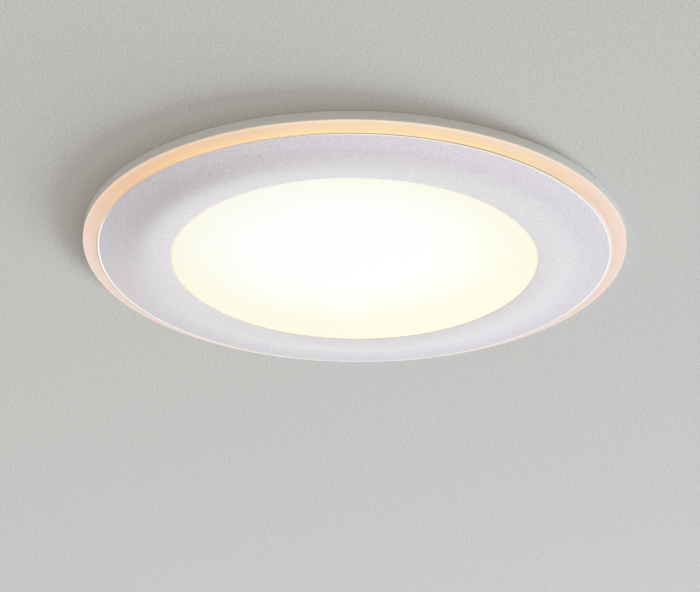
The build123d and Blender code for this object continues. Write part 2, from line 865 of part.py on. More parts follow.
# Driver case: an open tray on the heat sink's posts, with its lid and its hinged cover
with BuildPart() as driver_base:
    with BuildSketch(Plane.XY.offset(driver_under)):
        with Locations((0, case_middle)):
            RectangleRounded(case_width, case_length, case_corner)
    extrude(amount=case_top - driver_under)
    with BuildSketch(Plane.XY.offset(floor_top)):
        with Locations((0, case_middle)):
            RectangleRounded(
                case_width - 2 * case_wall, case_length - 2 * case_wall, case_corner - case_wall
            )
    extrude(amount=case_depth, mode=Mode.SUBTRACT)
    fillet(driver_base.edges().group_by(Axis.Z)[0], case_wall / 2)
    with BuildSketch(Plane.XY.offset(floor_top)):
        with Locations(*lid_screw_spots):
            Circle(lid_post_radius)
    extrude(amount=case_depth)
    with BuildSketch(Plane.XY.offset(floor_top)):
        with Locations(*standoff_spots):
            Circle(standoff_radius)
    extrude(amount=board_standoff)
    with BuildSketch(Plane.XY.offset(floor_top)):
        with Locations((clamp_half_span, clamp_y), (-clamp_half_span, clamp_y)):
            Circle(clamp_post_radius)
    extrude(amount=inlet_rise + clamp_gap)
    with BuildSketch(Plane.XY.offset(floor_top)):
        with Locations((0, clamp_y)):
            Rectangle(2 * inlet_bore, clamp_width / 2)
    extrude(amount=inlet_rise - inlet_bore - part_clearance)
    with Locations(*[(x, y, case_top) for x, y in lid_screw_spots]):
        Hole(small_screw, case_depth / 2)
    with Locations(*[(x, y, driver_board_under) for x, y in standoff_spots]):
        Hole(small_screw, board_standoff)
    clamp_post_top = floor_top + inlet_rise + clamp_gap
    with Locations(
        (clamp_half_span, clamp_y, clamp_post_top), (-clamp_half_span, clamp_y, clamp_post_top)
    ):
        Hole(small_screw, inlet_rise)
    with Locations(*[(x, y, floor_top) for x, y in base_screw_spots]):
        Hole(large_screw + screw_clearance, case_floor)
    with Locations((0, 0, floor_top), (0, lead_exit_y, floor_top)):
        Hole(lead_hole, case_floor)
    with Locations(Plane((0, -case_front, inlet_z), z_dir=(0, -1, 0))):
        Hole(inlet_hole, case_wall)
save(driver_base, "driver_base")

with BuildPart() as driver_base_screws:
    with Locations(*[(x, y, floor_top) for x, y in base_screw_spots]):
        pan_screw(large_screw, case_floor + post_thread_depth - 2, large_head, head_height)
save(driver_base_screws, "driver_base_screws")

# Rubber grommets: the cable inlet in the front wall and the two lead holes in the floor
with BuildPart() as cable_grommet:
    with BuildSketch(Plane((0, -case_front, inlet_z), x_dir=(1, 0, 0), z_dir=(0, -1, 0))):
        Circle(inlet_hole + grommet_lap)
    extrude(amount=grommet_flange)
    fillet(cable_grommet.faces().sort_by(Axis.Y)[0].edges(), grommet_flange / 3)
    with BuildSketch(Plane((0, -case_front, inlet_z), x_dir=(1, 0, 0), z_dir=(0, -1, 0))):
        Circle(inlet_hole)
    extrude(amount=-case_wall)
    with BuildSketch(
        Plane((0, case_wall - case_front, inlet_z), x_dir=(1, 0, 0), z_dir=(0, -1, 0))
    ):
        Circle(inlet_hole + grommet_lap)
    extrude(amount=-grommet_flange)
    with Locations(Plane((0, -case_front, inlet_z), z_dir=(0, -1, 0))):
        Cylinder(inlet_bore, 4 * (case_wall + grommet_flange), mode=Mode.SUBTRACT)
save(cable_grommet, "cable_grommet")

with BuildPart() as lead_grommets:
    grommet_bore = lead_spread + lead_radius + lead_gap
    for spot_y in (0, lead_exit_y):
        with BuildSketch(Plane.XY.offset(driver_under)):
            with Locations((0, spot_y)):
                Circle(lead_hole)
        extrude(amount=case_floor)
        with BuildSketch(Plane.XY.offset(floor_top)):
            with Locations((0, spot_y)):
                Circle(lead_hole + grommet_lap)
        extrude(amount=grommet_flange / 2)
        with BuildSketch(Plane.XY.offset(driver_under)):
            with Locations((0, spot_y)):
                Circle(lead_hole + grommet_lap)
        extrude(amount=-grommet_flange / 2)
        with Locations((0, spot_y, floor_top)):
            Cylinder(grommet_bore, 4 * (case_floor + grommet_flange), mode=Mode.SUBTRACT)
save(lead_grommets, "lead_grommets")

# Clamp bar over the cable's path, arched in the middle, with its two screws
with BuildPart() as cable_clamp:
    bar_under = floor_top + inlet_rise + clamp_gap
    bar_half = clamp_half_span + clamp_post_radius
    with BuildSketch(Plane.XZ.offset(-clamp_y)):
        with Locations((0, bar_under)):
            Rectangle(2 * bar_half, clamp_bar, align=(Align.CENTER, Align.MIN))
            Rectangle(
                2 * (inlet_bore + clamp_arch), clamp_bar + clamp_arch,
                align=(Align.CENTER, Align.MIN),
            )
        with Locations((0, inlet_z)):
            Circle(inlet_bore + part_clearance / 4, mode=Mode.SUBTRACT)
    extrude(amount=clamp_width / 2, both=True)
    with Locations(
        (clamp_half_span, clamp_y, bar_under + clamp_bar),
        (-clamp_half_span, clamp_y, bar_under + clamp_bar),
    ):
        Hole(small_screw + screw_clearance, clamp_bar)
save(cable_clamp, "cable_clamp")

with BuildPart() as clamp_screws:
    with Locations(
        (clamp_half_span, clamp_y, bar_under + clamp_bar),
        (-clamp_half_span, clamp_y, bar_under + clamp_bar),
    ):
        pan_screw(small_screw, clamp_bar + inlet_rise - 2, small_head, small_head_height)
save(clamp_screws, "clamp_screws")

# Driver board on its standoffs, with the parts that stand on it
with BuildPart() as driver_board:
    with BuildSketch(Plane.XY.offset(driver_board_under)):
        with Locations((0, driver_board_front)):
            Rectangle(
                2 * driver_board_half, driver_board_back - driver_board_front,
                align=(Align.CENTER, Align.MIN),
            )
        with Locations(*standoff_spots):
            Circle(small_screw + screw_clearance, mode=Mode.SUBTRACT)
        with Locations(*[(x, button_middle) for x in pole_spots]):
            Circle(terminal_pin_radius + thread_fit, mode=Mode.SUBTRACT)
    extrude(amount=driver_board_thickness)
save(driver_board, "driver_board")

with BuildPart() as driver_board_screws:
    with Locations(*[(x, y, driver_board_top) for x, y in standoff_spots]):
        pan_screw(
            small_screw, driver_board_thickness + board_standoff * 0.75,
            small_head, small_head_height,
        )
save(driver_board_screws, "driver_board_screws")

with BuildPart() as driver_transformer:
    with BuildSketch(Plane.XY.offset(driver_board_top)):
        with Locations(transformer_spot):
            Rectangle(transformer_width, transformer_length)
    extrude(amount=bobbin_foot)
    with BuildSketch(Plane.XY.offset(driver_board_top + bobbin_foot)):
        with Locations(transformer_spot):
            Rectangle(transformer_width, transformer_length - 2 * winding_step)
    extrude(amount=transformer_height - bobbin_foot)
    with BuildSketch(Plane.XY.offset(driver_board_top + 2 * bobbin_foot)):
        with Locations(transformer_spot):
            Rectangle(transformer_width - 4 * winding_step, transformer_length)
    extrude(amount=transformer_height - 4 * bobbin_foot)
    fillet(driver_transformer.edges().filter_by(Axis.Z), winding_step / 3)
save(driver_transformer, "driver_transformer")

with BuildPart() as driver_capacitors:
    for spot, radius, height in capacitor_cans:
        with BuildSketch(Plane.XY.offset(driver_board_top)):
            with Locations(spot):
                Circle(radius)
        extrude(amount=height)
        can_top = driver_board_top + height
        rim = driver_capacitors.edges().filter_by_position(Axis.Z, can_top - 0.01, can_top + 0.01)
        fillet(rim.filter_by(GeomType.CIRCLE), can_round)
    with BuildSketch(Plane.XY.offset(driver_board_top)):
        with Locations(film_capacitor_spot):
            RectangleRounded(film_capacitor_width, film_capacitor_depth, can_round)
    extrude(amount=film_capacitor_height)
save(driver_capacitors, "driver_capacitors")

with BuildPart() as driver_choke:
    with BuildSketch(Plane.XY.offset(driver_board_top)):
        with Locations(choke_spot):
            Circle(choke_radius)
    extrude(amount=choke_flange)
    with BuildSketch(Plane.XY.offset(driver_board_top + choke_flange)):
        with Locations(choke_spot):
            Circle(choke_radius - choke_groove)
    extrude(amount=choke_winding)
    with BuildSketch(Plane.XY.offset(driver_board_top + choke_flange + choke_winding)):
        with Locations(choke_spot):
            Circle(choke_radius)
    extrude(amount=choke_flange)
save(driver_choke, "driver_choke")

with BuildPart() as driver_chips:
    for spot, width, depth, height in chip_boxes:
        with BuildSketch(Plane.XY.offset(driver_board_top)):
            with Locations(spot):
                Rectangle(width, depth)
        extrude(amount=height)
save(driver_chips, "driver_chips")

# Terminal block: wire entries in front, sprung release buttons on top
with BuildPart() as terminal_block:
    with BuildSketch(Plane.XY.offset(driver_board_top)):
        with Locations((0, block_front)):
            Rectangle(block_width, block_depth, align=(Align.CENTER, Align.MIN))
    extrude(amount=block_height)
    fillet(terminal_block.edges().group_by(Axis.Z)[-1], edge_round)
    button_well = button_height - button_stand + button_travel + part_clearance
    with BuildSketch(Plane.XY.offset(block_top)):
        with Locations(*[(x, button_middle) for x in pole_spots]):
            Rectangle(button_width + 2 * button_fit, button_depth + 2 * button_fit)
    extrude(amount=-button_well, mode=Mode.SUBTRACT)
    for pole in pole_spots:
        with Locations(
            Plane((pole, block_front, driver_board_top + wire_entry_rise), z_dir=(0, -1, 0))
        ):
            Hole(wire_entry_radius, wire_entry_depth)
    with Locations(
        *[
            Plane((x, button_middle, driver_board_top), x_dir=(1, 0, 0), z_dir=(0, 0, -1))
            for x in pole_spots
        ]
    ):
        Hole(terminal_pin_radius + thread_fit, terminal_pin_sink)
save(terminal_block, "terminal_block")

with BuildPart() as terminal_pins:
    pin_length = terminal_pin_sink + driver_board_thickness + terminal_pin_tail
    with Locations(*[(x, button_middle, driver_board_top + terminal_pin_sink) for x in pole_spots]):
        Cylinder(terminal_pin_radius, pin_length, align=downward)
save(terminal_pins, "terminal_pins")

for pole, pole_name in zip(pole_spots, ("live", "neutral")):
    with BuildPart() as release_button:
        with BuildSketch(Plane.XY.offset(block_top + button_stand)):
            with Locations((pole, button_middle)):
                Rectangle(button_width, button_depth)
        extrude(amount=-button_height)
        fillet(release_button.edges().group_by(Axis.Z)[-1], edge_round)
        with Locations((pole, button_middle, block_top + button_stand)):
            Box(
                button_width / 2, drive_width, drive_depth,
                align=downward, mode=Mode.SUBTRACT,
            )
    save(release_button, f"release_button_{pole_name}")

# Lid over the driver, with the outer knuckles of the hinge
lid_front = split_y + lid_gap / 2
lid_knuckle_x = cover_knuckle_width / 2 + knuckle_gap + knuckle_width / 2
with BuildPart() as driver_lid:
    with BuildSketch(Plane.XY.offset(case_top)):
        with Locations((0, case_middle)):
            RectangleRounded(case_width, case_length, case_corner)
        with Locations((0, lid_front)):
            Rectangle(
                2 * case_width, 2 * case_length, align=(Align.CENTER, Align.MAX),
                mode=Mode.SUBTRACT,
            )
    extrude(amount=lid_thickness)
    fillet(driver_lid.edges().group_by(Axis.Z)[-1], lid_thickness / 3)
    with Locations(
        *[
            Plane((x, split_y, hinge_z), z_dir=(1, 0, 0))
            for x in (lid_knuckle_x, -lid_knuckle_x)
        ]
    ):
        Cylinder(knuckle_radius, knuckle_width)
    with Locations(Plane((0, split_y, hinge_z), z_dir=(1, 0, 0))):
        Cylinder(
            knuckle_radius + knuckle_gap, cover_knuckle_width + 2 * knuckle_gap,
            mode=Mode.SUBTRACT,
        )
        Cylinder(hinge_pin_radius + hinge_press_fit, 2 * case_width, mode=Mode.SUBTRACT)
    with Locations(*[(x, y, lid_top) for x, y in lid_screw_spots]):
        CounterSinkHole(
            small_screw + screw_clearance, small_head + part_clearance / 2, lid_thickness, 90
        )
save(driver_lid, "driver_lid")

with BuildPart() as lid_screws:
    with Locations(*[(x, y, lid_top) for x, y in lid_screw_spots]):
        flush_screw(small_screw, lid_thickness + case_depth / 3, small_head)
save(lid_screws, "lid_screws")

# Hinged cover of the wiring bay, with its middle knuckle, inner tongue and thumb tab
with BuildPart() as terminal_cover:
    with BuildSketch(Plane.XY.offset(case_top + cover_lift)):
        with Locations((0, case_middle)):
            RectangleRounded(case_width, case_length, case_corner)
        with Locations((0, split_y - lid_gap / 2)):
            Rectangle(
                2 * case_width, 2 * case_length, align=(Align.CENTER, Align.MIN),
                mode=Mode.SUBTRACT,
            )
        with Locations((0, -case_front)):
            Rectangle(tab_width, 2 * tab_reach)
    extrude(amount=lid_thickness - cover_lift)
    fillet(terminal_cover.edges().group_by(Axis.Z)[-1], lid_thickness / 3)
    with BuildSketch(Plane.XY.offset(case_top + cover_lift)):
        with Locations((0, case_wall + tongue_gap - case_front)):
            Rectangle(tongue_width, tongue_wall, align=(Align.CENTER, Align.MIN))
    extrude(amount=-tongue_depth)
    with Locations(Plane((0, split_y, hinge_z), z_dir=(1, 0, 0))):
        Cylinder(knuckle_radius, cover_knuckle_width)
        Cylinder(hinge_pin_radius + pin_fit, 2 * case_width, mode=Mode.SUBTRACT)
    with Locations(
        *[
            Plane((x, split_y, hinge_z), z_dir=(1, 0, 0))
            for x in (lid_knuckle_x, -lid_knuckle_x)
        ]
    ):
        Cylinder(
            knuckle_radius + knuckle_gap, knuckle_width + 2 * knuckle_gap, mode=Mode.SUBTRACT
        )
save(terminal_cover, "terminal_cover")

with BuildPart() as cover_hinge_pin:
    with Locations(Plane((0, split_y, hinge_z), z_dir=(1, 0, 0))):
        Cylinder(hinge_pin_radius, 2 * lid_knuckle_x + knuckle_width)
save(cover_hinge_pin, "cover_hinge_pin")

# Leads from the driver board to the two LED boards
with BuildPart() as main_leads:
    lead_level = main_board_under - lead_radius - lead_gap
    for side in (1, -1):
        with BuildLine() as lead_path:
            FilletPolyline(
                (side * lead_spread, 0, driver_board_under),
                (side * lead_spread, 0, lead_level),
                (side * lead_pad_reach, 0, lead_level),
                radius=lead_bend,
            )
        with BuildSketch(Plane((side * lead_spread, 0, driver_board_under), z_dir=(0, 0, -1))):
            Circle(lead_radius)
        sweep(path=lead_path.wires()[0])
save(main_leads, "main_leads")

with BuildPart() as halo_leads:
    for side in (1, -1):
        x = side * lead_spread
        with BuildLine() as lead_path:
            FilletPolyline(
                (x, lead_exit_y, driver_board_under),
                (x, lead_exit_y, lead_run_z),
                (x, lead_drop_y, lead_run_z),
                (x, lead_drop_y, lead_end_z),
                (x, math.sqrt(halo_inner**2 - x**2), lead_end_z),
                radius=lead_bend,
            )
        with BuildSketch(Plane((x, lead_exit_y, driver_board_under), z_dir=(0, 0, -1))):
            Circle(lead_radius)
        sweep(path=lead_path.wires()[0])
save(halo_leads, "halo_leads")
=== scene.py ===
import math

import bmesh
import bpy
from mathutils import Matrix, Vector


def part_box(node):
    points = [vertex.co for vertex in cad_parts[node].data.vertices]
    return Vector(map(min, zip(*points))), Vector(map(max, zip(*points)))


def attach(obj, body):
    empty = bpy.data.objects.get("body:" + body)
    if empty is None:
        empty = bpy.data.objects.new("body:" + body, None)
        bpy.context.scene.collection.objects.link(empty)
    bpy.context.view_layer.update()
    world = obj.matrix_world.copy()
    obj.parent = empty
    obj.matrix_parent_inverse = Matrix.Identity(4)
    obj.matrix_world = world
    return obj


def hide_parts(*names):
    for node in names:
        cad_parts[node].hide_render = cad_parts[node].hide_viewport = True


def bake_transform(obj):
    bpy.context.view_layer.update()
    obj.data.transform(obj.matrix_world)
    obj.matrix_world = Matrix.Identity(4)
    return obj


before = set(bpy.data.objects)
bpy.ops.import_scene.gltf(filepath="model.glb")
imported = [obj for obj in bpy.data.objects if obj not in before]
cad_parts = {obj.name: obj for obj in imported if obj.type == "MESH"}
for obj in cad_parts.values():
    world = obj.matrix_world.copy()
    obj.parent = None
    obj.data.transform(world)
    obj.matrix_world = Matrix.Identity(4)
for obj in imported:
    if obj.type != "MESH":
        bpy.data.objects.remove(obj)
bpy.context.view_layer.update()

# Mounting flange: a die-cast aluminium plate and collar. The plate lies against the ceiling,
# its rim shows as a thin wall below it, and the collar goes up through the cut-out. White
# powder coat, baked on, which leaves a faint orange peel.


def linear(hex_colour):
    """An sRGB hex colour as linear red, green, blue and alpha."""
    shares = [int(hex_colour[i:i + 2], 16) / 255 for i in (1, 3, 5)]
    return [c / 12.92 if c <= 0.04045 else ((c + 0.055) / 1.055) ** 2.4 for c in shares] + [1.0]


def add_node(tree, kind, links=None, **settings):
    """One shader node: settings are its own, links are values or outputs for its sockets."""
    made = tree.nodes.new("ShaderNode" + kind)
    for name, value in settings.items():
        setattr(made, name, value)
    for socket, value in (links or {}).items():
        if isinstance(value, bpy.types.NodeSocket):
            tree.links.new(value, made.inputs[socket])
        else:
            made.inputs[socket].default_value = value
    return made


def new_finish(name):
    """A material with an empty tree, and that tree."""
    finish = bpy.data.materials.new(name)
    finish.use_nodes = True
    finish.node_tree.nodes.clear()
    return finish, finish.node_tree


def dress(finish, *names):
    """Gives CAD nodes their finish."""
    for name in names:
        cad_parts[name].material_slots[0].material = finish


MM = 0.001
powder_coat, tree = new_finish("white_powder_coat")
place = add_node(tree, "TexCoord")
peel = add_node(tree, "TexNoise", {
    "Vector": place.outputs["Object"], "Scale": 1 / (0.9 * MM), "Detail": 2.0, "Roughness": 0.5})
cloud = add_node(tree, "TexNoise", {
    "Vector": place.outputs["Object"], "Scale": 1 / (14 * MM), "Detail": 3.0})
tone = add_node(tree, "Mix", {
    "Factor": cloud.outputs["Fac"], "A": linear("#E8EBE9"), "B": linear("#EEF1EF")}, data_type="RGBA")
soft_edge = add_node(tree, "Bevel", {"Radius": 0.25 * MM}, samples=4)
bump = add_node(tree, "Bump", {
    "Strength": 0.12, "Distance": 0.05 * MM, "Height": peel.outputs["Fac"],
    "Normal": soft_edge.outputs["Normal"]})
gloss = add_node(tree, "MapRange", {
    "Value": peel.outputs["Fac"], "To Min": 0.42, "To Max": 0.56})
shader = add_node(tree, "BsdfPrincipled", {
    "Base Color": tone.outputs["Result"], "Roughness": gloss.outputs["Result"],
    "Normal": bump.outputs["Normal"]})
add_node(tree, "OutputMaterial", {"Surface": shader.outputs["BSDF"]})
dress(powder_coat, "mounting_flange")

# Heat sink: one aluminium die casting with radial fins, screwed to the collar. It is blasted
# with fine grit, so it is dull grey with a soft sparkle and brighter worn edges. The grit's
# marks are drawn coarser than they are, so that they show.
grit_casting, tree = new_finish("blasted_aluminium")
place = add_node(tree, "TexCoord")
grit = add_node(tree, "TexNoise", {
    "Vector": place.outputs["Object"], "Scale": 1 / (0.35 * MM), "Detail": 3.0, "Roughness": 0.6})
flow = add_node(tree, "TexNoise", {
    "Vector": place.outputs["Object"], "Scale": 1 / (11 * MM), "Detail": 4.0, "Distortion": 0.8})
soft_edge = add_node(tree, "Bevel", {"Radius": 0.3 * MM}, samples=6)
facing = add_node(tree, "NewGeometry")
turn = add_node(tree, "VectorMath", {
    0: soft_edge.outputs["Normal"], 1: facing.outputs["Normal"]}, operation="DOT_PRODUCT")
wear = add_node(tree, "MapRange", {
    "Value": turn.outputs["Value"], "From Min": 0.99, "From Max": 0.80, "To Min": 0.0, "To Max": 0.55})
body_tone = add_node(tree, "Mix", {
    "Factor": flow.outputs["Fac"], "A": linear("#A3A5A7"), "B": linear("#BCBEC0")}, data_type="RGBA")
worn_tone = add_node(tree, "Mix", {
    "Factor": wear.outputs["Result"], "A": body_tone.outputs["Result"],
    "B": linear("#DADCDD")}, data_type="RGBA")
dullness = add_node(tree, "MapRange", {
    "Value": grit.outputs["Fac"], "To Min": 0.40, "To Max": 0.58})
bump = add_node(tree, "Bump", {
    "Strength": 0.25, "Distance": 0.05 * MM, "Height": grit.outputs["Fac"],
    "Normal": soft_edge.outputs["Normal"]})
shader = add_node(tree, "BsdfPrincipled", {
    "Base Color": worn_tone.outputs["Result"], "Metallic": 0.85,
    "Roughness": dullness.outputs["Result"], "Normal": bump.outputs["Normal"]})
add_node(tree, "OutputMaterial", {"Surface": shader.outputs["BSDF"]})
dress(grit_casting, "heat_sink")

# Light engine inside the can: aluminium-core boards with a white mask, LED packages with
# yellow phosphor, a grey silicone pad under the board and a white moulded reflector cone. The
# mask is half glossy, and the tracks under it show as faint raised rings.
wave_repeat = 0.3  # units after which a wave pattern of scale 1 repeats
white_mask, tree = new_finish("white_solder_mask")
place = add_node(tree, "TexCoord")
tracks = add_node(tree, "TexWave", {
    "Vector": place.outputs["Object"], "Scale": wave_repeat / (4 * MM), "Distortion": 2.0},
    wave_type="RINGS", rings_direction="Z")
track_step = add_node(tree, "MapRange", {
    "Value": tracks.outputs["Fac"], "From Min": 0.45, "From Max": 0.55})
mask_tone = add_node(tree, "Mix", {
    "Factor": track_step.outputs["Result"], "A": linear("#EDEEEC"), "B": linear("#E3E4E0")},
    data_type="RGBA")
bump = add_node(tree, "Bump", {
    "Strength": 0.3, "Distance": 0.03 * MM, "Height": track_step.outputs["Result"]})
shader = add_node(tree, "BsdfPrincipled", {
    "Base Color": mask_tone.outputs["Result"], "Roughness": 0.35, "Normal": bump.outputs["Normal"]})
add_node(tree, "OutputMaterial", {"Surface": shader.outputs["BSDF"]})
dress(white_mask, "main_led_board", "halo_led_board")


def mottled_finish(name, size, detail, tones, roughness, metallic=0.0, edge=0.0):
    """A plain finish: two close tones mottled at a size in millimetres, and edges that look
    rounded to a radius in millimetres."""
    finish, tree = new_finish(name)
    place = add_node(tree, "TexCoord")
    mottle = add_node(tree, "TexNoise", {
        "Vector": place.outputs["Object"], "Scale": 1 / (size * MM), "Detail": detail})
    tone = add_node(tree, "Mix", {
        "Factor": mottle.outputs["Fac"], "A": linear(tones[0]), "B": linear(tones[1])},
        data_type="RGBA")
    shader = add_node(tree, "BsdfPrincipled", {
        "Base Color": tone.outputs["Result"], "Roughness": roughness, "Metallic": metallic})
    if edge:
        soft_edge = add_node(tree, "Bevel", {"Radius": edge * MM}, samples=4)
        tree.links.new(soft_edge.outputs["Normal"], shader.inputs["Normal"])
    add_node(tree, "OutputMaterial", {"Surface": shader.outputs["BSDF"]})
    return finish


# Phosphor powder set in silicone: yellow with a soft shine. Its grain is drawn coarser than the
# powder is, so that it shows.
phosphor = mottled_finish(
    "led_phosphor", size=0.25, detail=2.0, tones=("#E8C95A", "#F2DA84"), roughness=0.3)
dress(phosphor, "main_leds", "halo_leds")

# Silicone filled with ceramic powder: grey, dull and finely speckled.
pad_silicone, tree = new_finish("filled_silicone")
place = add_node(tree, "TexCoord")
speck = add_node(tree, "TexVoronoi", {"Vector": place.outputs["Object"], "Scale": 1 / (0.5 * MM)})
pad_tone = add_node(tree, "Mix", {
    "Factor": speck.outputs["Distance"], "A": linear("#9AA1A9"), "B": linear("#7E858C")},
    data_type="RGBA")
shader = add_node(tree, "BsdfPrincipled", {"Base Color": pad_tone.outputs["Result"], "Roughness": 0.8})
add_node(tree, "OutputMaterial", {"Surface": shader.outputs["BSDF"]})
dress(pad_silicone, "thermal_pad")

# Bright white moulded plastic, half matt, so that it spreads the light.
cone_plastic = mottled_finish(
    "white_reflector_plastic", size=0.6, detail=2.0, tones=("#F4F4F2", "#EEEEEC"), roughness=0.45)
dress(cone_plastic, "reflector")

# Screws: small zinc-plated steel pan heads and countersunk heads with a cross drive. The
# plating is bright with a cool cast, and polished a little unevenly.
plated_screw, tree = new_finish("zinc_plated_screw")
place = add_node(tree, "TexCoord")
plating = add_node(tree, "TexNoise", {
    "Vector": place.outputs["Object"], "Scale": 1 / (1.2 * MM), "Detail": 4.0})
screw_tone = add_node(tree, "Mix", {
    "Factor": plating.outputs["Fac"], "A": linear("#B4B9BE"), "B": linear("#D2D4D2")}, data_type="RGBA")
polish = add_node(tree, "MapRange", {
    "Value": plating.outputs["Fac"], "To Min": 0.22, "To Max": 0.38})
soft_edge = add_node(tree, "Bevel", {"Radius": 0.2 * MM}, samples=4)
shader = add_node(tree, "BsdfPrincipled", {
    "Base Color": screw_tone.outputs["Result"], "Metallic": 1.0,
    "Roughness": polish.outputs["Result"], "Normal": soft_edge.outputs["Normal"]})
add_node(tree, "OutputMaterial", {"Surface": shader.outputs["BSDF"]})
dress(plated_screw, "trim_screws", "board_screws", "heat_sink_screws", "bracket_screws",
      "driver_base_screws", "clamp_screws", "driver_board_screws", "lid_screws")

# Opal disc: injection-moulded polycarbonate filled with white diffuser, dropped into the trim
# from behind. Lit, it is white over most of its face and a little yellow towards its edge,
# which lies further from the LEDs.


def ring_from(name, outline, rounded=(), facets=256):
    """A piece turned about Z from (radius, height) corners in millimetres, closed on itself.
    rounded lists (corner number, radius) for the corners that are rounded first."""
    mesh = bmesh.new()
    corners = [mesh.verts.new((r * MM, 0, z * MM)) for r, z in outline]
    for a, b in zip(corners, corners[1:] + corners[:1]):
        mesh.edges.new((a, b))
    for number, radius in rounded:
        bmesh.ops.bevel(
            mesh, geom=[corners[number]], offset=radius * MM, offset_type="OFFSET",
            affect="VERTICES", segments=5, profile=0.5, material=-1)
    bmesh.ops.spin(
        mesh, geom=mesh.verts[:] + mesh.edges[:], cent=(0, 0, 0), axis=(0, 0, 1),
        angle=2 * math.pi, steps=facets, use_merge=True)
    bmesh.ops.remove_doubles(mesh, verts=mesh.verts[:], dist=0.0005 * MM)
    return finished(name, mesh)


def finished(name, mesh, smooth_angle=32):
    """The mesh as a smooth-shaded object with sharp edges kept, faces outwards."""
    bmesh.ops.recalc_face_normals(mesh, faces=mesh.faces[:])
    for face in mesh.faces:
        face.smooth = True
    for edge in mesh.edges:
        edge.smooth = len(edge.link_faces) == 2 and (
            edge.calc_face_angle() < math.radians(smooth_angle))
    data = bpy.data.meshes.new(name)
    mesh.to_mesh(data)
    mesh.free()
    piece = bpy.data.objects.new(name, data)
    bpy.context.scene.collection.objects.link(piece)
    return piece


face_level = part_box("front_trim")[0].z / MM
disc_low, disc_high = (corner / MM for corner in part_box("main_diffuser"))
trim_lip, disc_edge, disc_rounding = 1.0, 48.7, 0.2
seat = face_level + trim_lip
opal_disc = ring_from("opal_disc", [
    (0, disc_low.z), (disc_edge, disc_low.z), (disc_edge, seat),
    (disc_high.x, seat), (disc_high.x, disc_high.z), (0, disc_high.z)],
    rounded=[(1, disc_rounding)])

opal, tree = new_finish("opal_polycarbonate")
place = add_node(tree, "TexCoord")
# The brightest patch lies a little to the left and towards the cable's side. From there the
# face is white out to one radius and yellow from the other, in millimetres.
off_middle = (3.5 * MM, 9.5 * MM, 0)
white_to, yellow_from = 24, 52
centred = add_node(tree, "Mapping", {
    "Vector": place.outputs["Object"], "Location": off_middle, "Scale": (1, 1, 0)})
out_from_middle = add_node(tree, "VectorMath", {0: centred.outputs["Vector"]}, operation="LENGTH")
fade = add_node(tree, "MapRange", {
    "Value": out_from_middle.outputs["Value"], "From Min": white_to * MM,
    "From Max": yellow_from * MM}, interpolation_type="SMOOTHSTEP")
frost = add_node(tree, "TexNoise", {
    "Vector": place.outputs["Object"], "Scale": 1 / (0.5 * MM), "Detail": 2.0})
lit_tone = add_node(tree, "Mix", {
    "Factor": fade.outputs["Result"], "A": linear("#D2D2D3"), "B": linear("#CECCB2")},
    data_type="RGBA")
bump = add_node(tree, "Bump", {
    "Strength": 0.08, "Distance": 0.03 * MM, "Height": frost.outputs["Fac"]})
shader = add_node(tree, "BsdfPrincipled", {
    "Base Color": linear("#A0A09A"), "Roughness": 0.5, "Normal": bump.outputs["Normal"],
    "Emission Color": lit_tone.outputs["Result"], "Emission Strength": 1.0})
add_node(tree, "OutputMaterial", {"Surface": shader.outputs["BSDF"]})
opal_disc.data.materials.append(opal)
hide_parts("main_diffuser")
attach(opal_disc, "lamp")

# Front trim: a die-cast ring with a flat plateau round the disc, a soft shoulder and a hollow
# outer slope, sprayed with a satin paint that holds fine mica. The fine bevel at its edge carries
# a painted highlight, white with a painted glow, left out on the near left as painted shade.
aperture, shoulder, inflection, bevel_start, trim_edge = 49.0, 54.1, 59.5, 68.0, 68.8
inner_wall, bevel_land, aperture_rounding, bevel_rounding = 58.0, 0.2, 0.1, 0.06
arc_steps, trim_facets = 10, 288
guide_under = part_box("halo_light_guide")[0].z / MM
land_level = guide_under - bevel_land
shoulder_turn, edge_turn = math.radians(12), math.radians(8)
shoulder_curve = (inflection - shoulder) / math.sin(shoulder_turn)
slope_curve = (bevel_start - inflection) / (math.sin(shoulder_turn) - math.sin(edge_turn))
profile = bmesh.new()
first = profile.verts.new((aperture * MM, 0, face_level * MM))


def draw_to(mesh, start, radius, height):
    """A straight run of the outline to a new corner."""
    corner = mesh.verts.new((radius * MM, 0, height * MM))
    mesh.edges.new((start, corner))
    return corner


def draw_arc(mesh, start, centre, turn, steps):
    """A run of the outline that turns about centre, and its last corner."""
    made = bmesh.ops.spin(
        mesh, geom=[start], cent=(centre[0] * MM, 0, centre[1] * MM), axis=(0, -1, 0),
        angle=turn, steps=steps)
    return next(v for v in made["geom_last"] if isinstance(v, bmesh.types.BMVert))


last = draw_to(profile, first, shoulder, face_level)
last = draw_arc(profile, last, (shoulder, face_level + shoulder_curve), shoulder_turn, arc_steps)
slope_centre = Vector((last.co.x / MM, last.co.z / MM)) + slope_curve * Vector(
    (math.sin(shoulder_turn), -math.cos(shoulder_turn)))
bevel_foot = draw_arc(profile, last, slope_centre, edge_turn - shoulder_turn, arc_steps)
bevel_head = draw_to(profile, bevel_foot, trim_edge, land_level)
last = bevel_head
for radius, height in ((trim_edge, guide_under), (inner_wall, guide_under),
                       (inner_wall, seat), (aperture, seat)):
    last = draw_to(profile, last, radius, height)
profile.edges.new((last, first))
for corner, radius in ((first, aperture_rounding), (bevel_foot, bevel_rounding),
                       (bevel_head, bevel_rounding)):
    bmesh.ops.bevel(
        profile, geom=[corner], offset=radius * MM, offset_type="OFFSET", affect="VERTICES",
        segments=4, profile=0.5, material=-1)
bmesh.ops.spin(
    profile, geom=profile.verts[:] + profile.edges[:], cent=(0, 0, 0), axis=(0, 0, 1),
    angle=2 * math.pi, steps=trim_facets, use_merge=True)
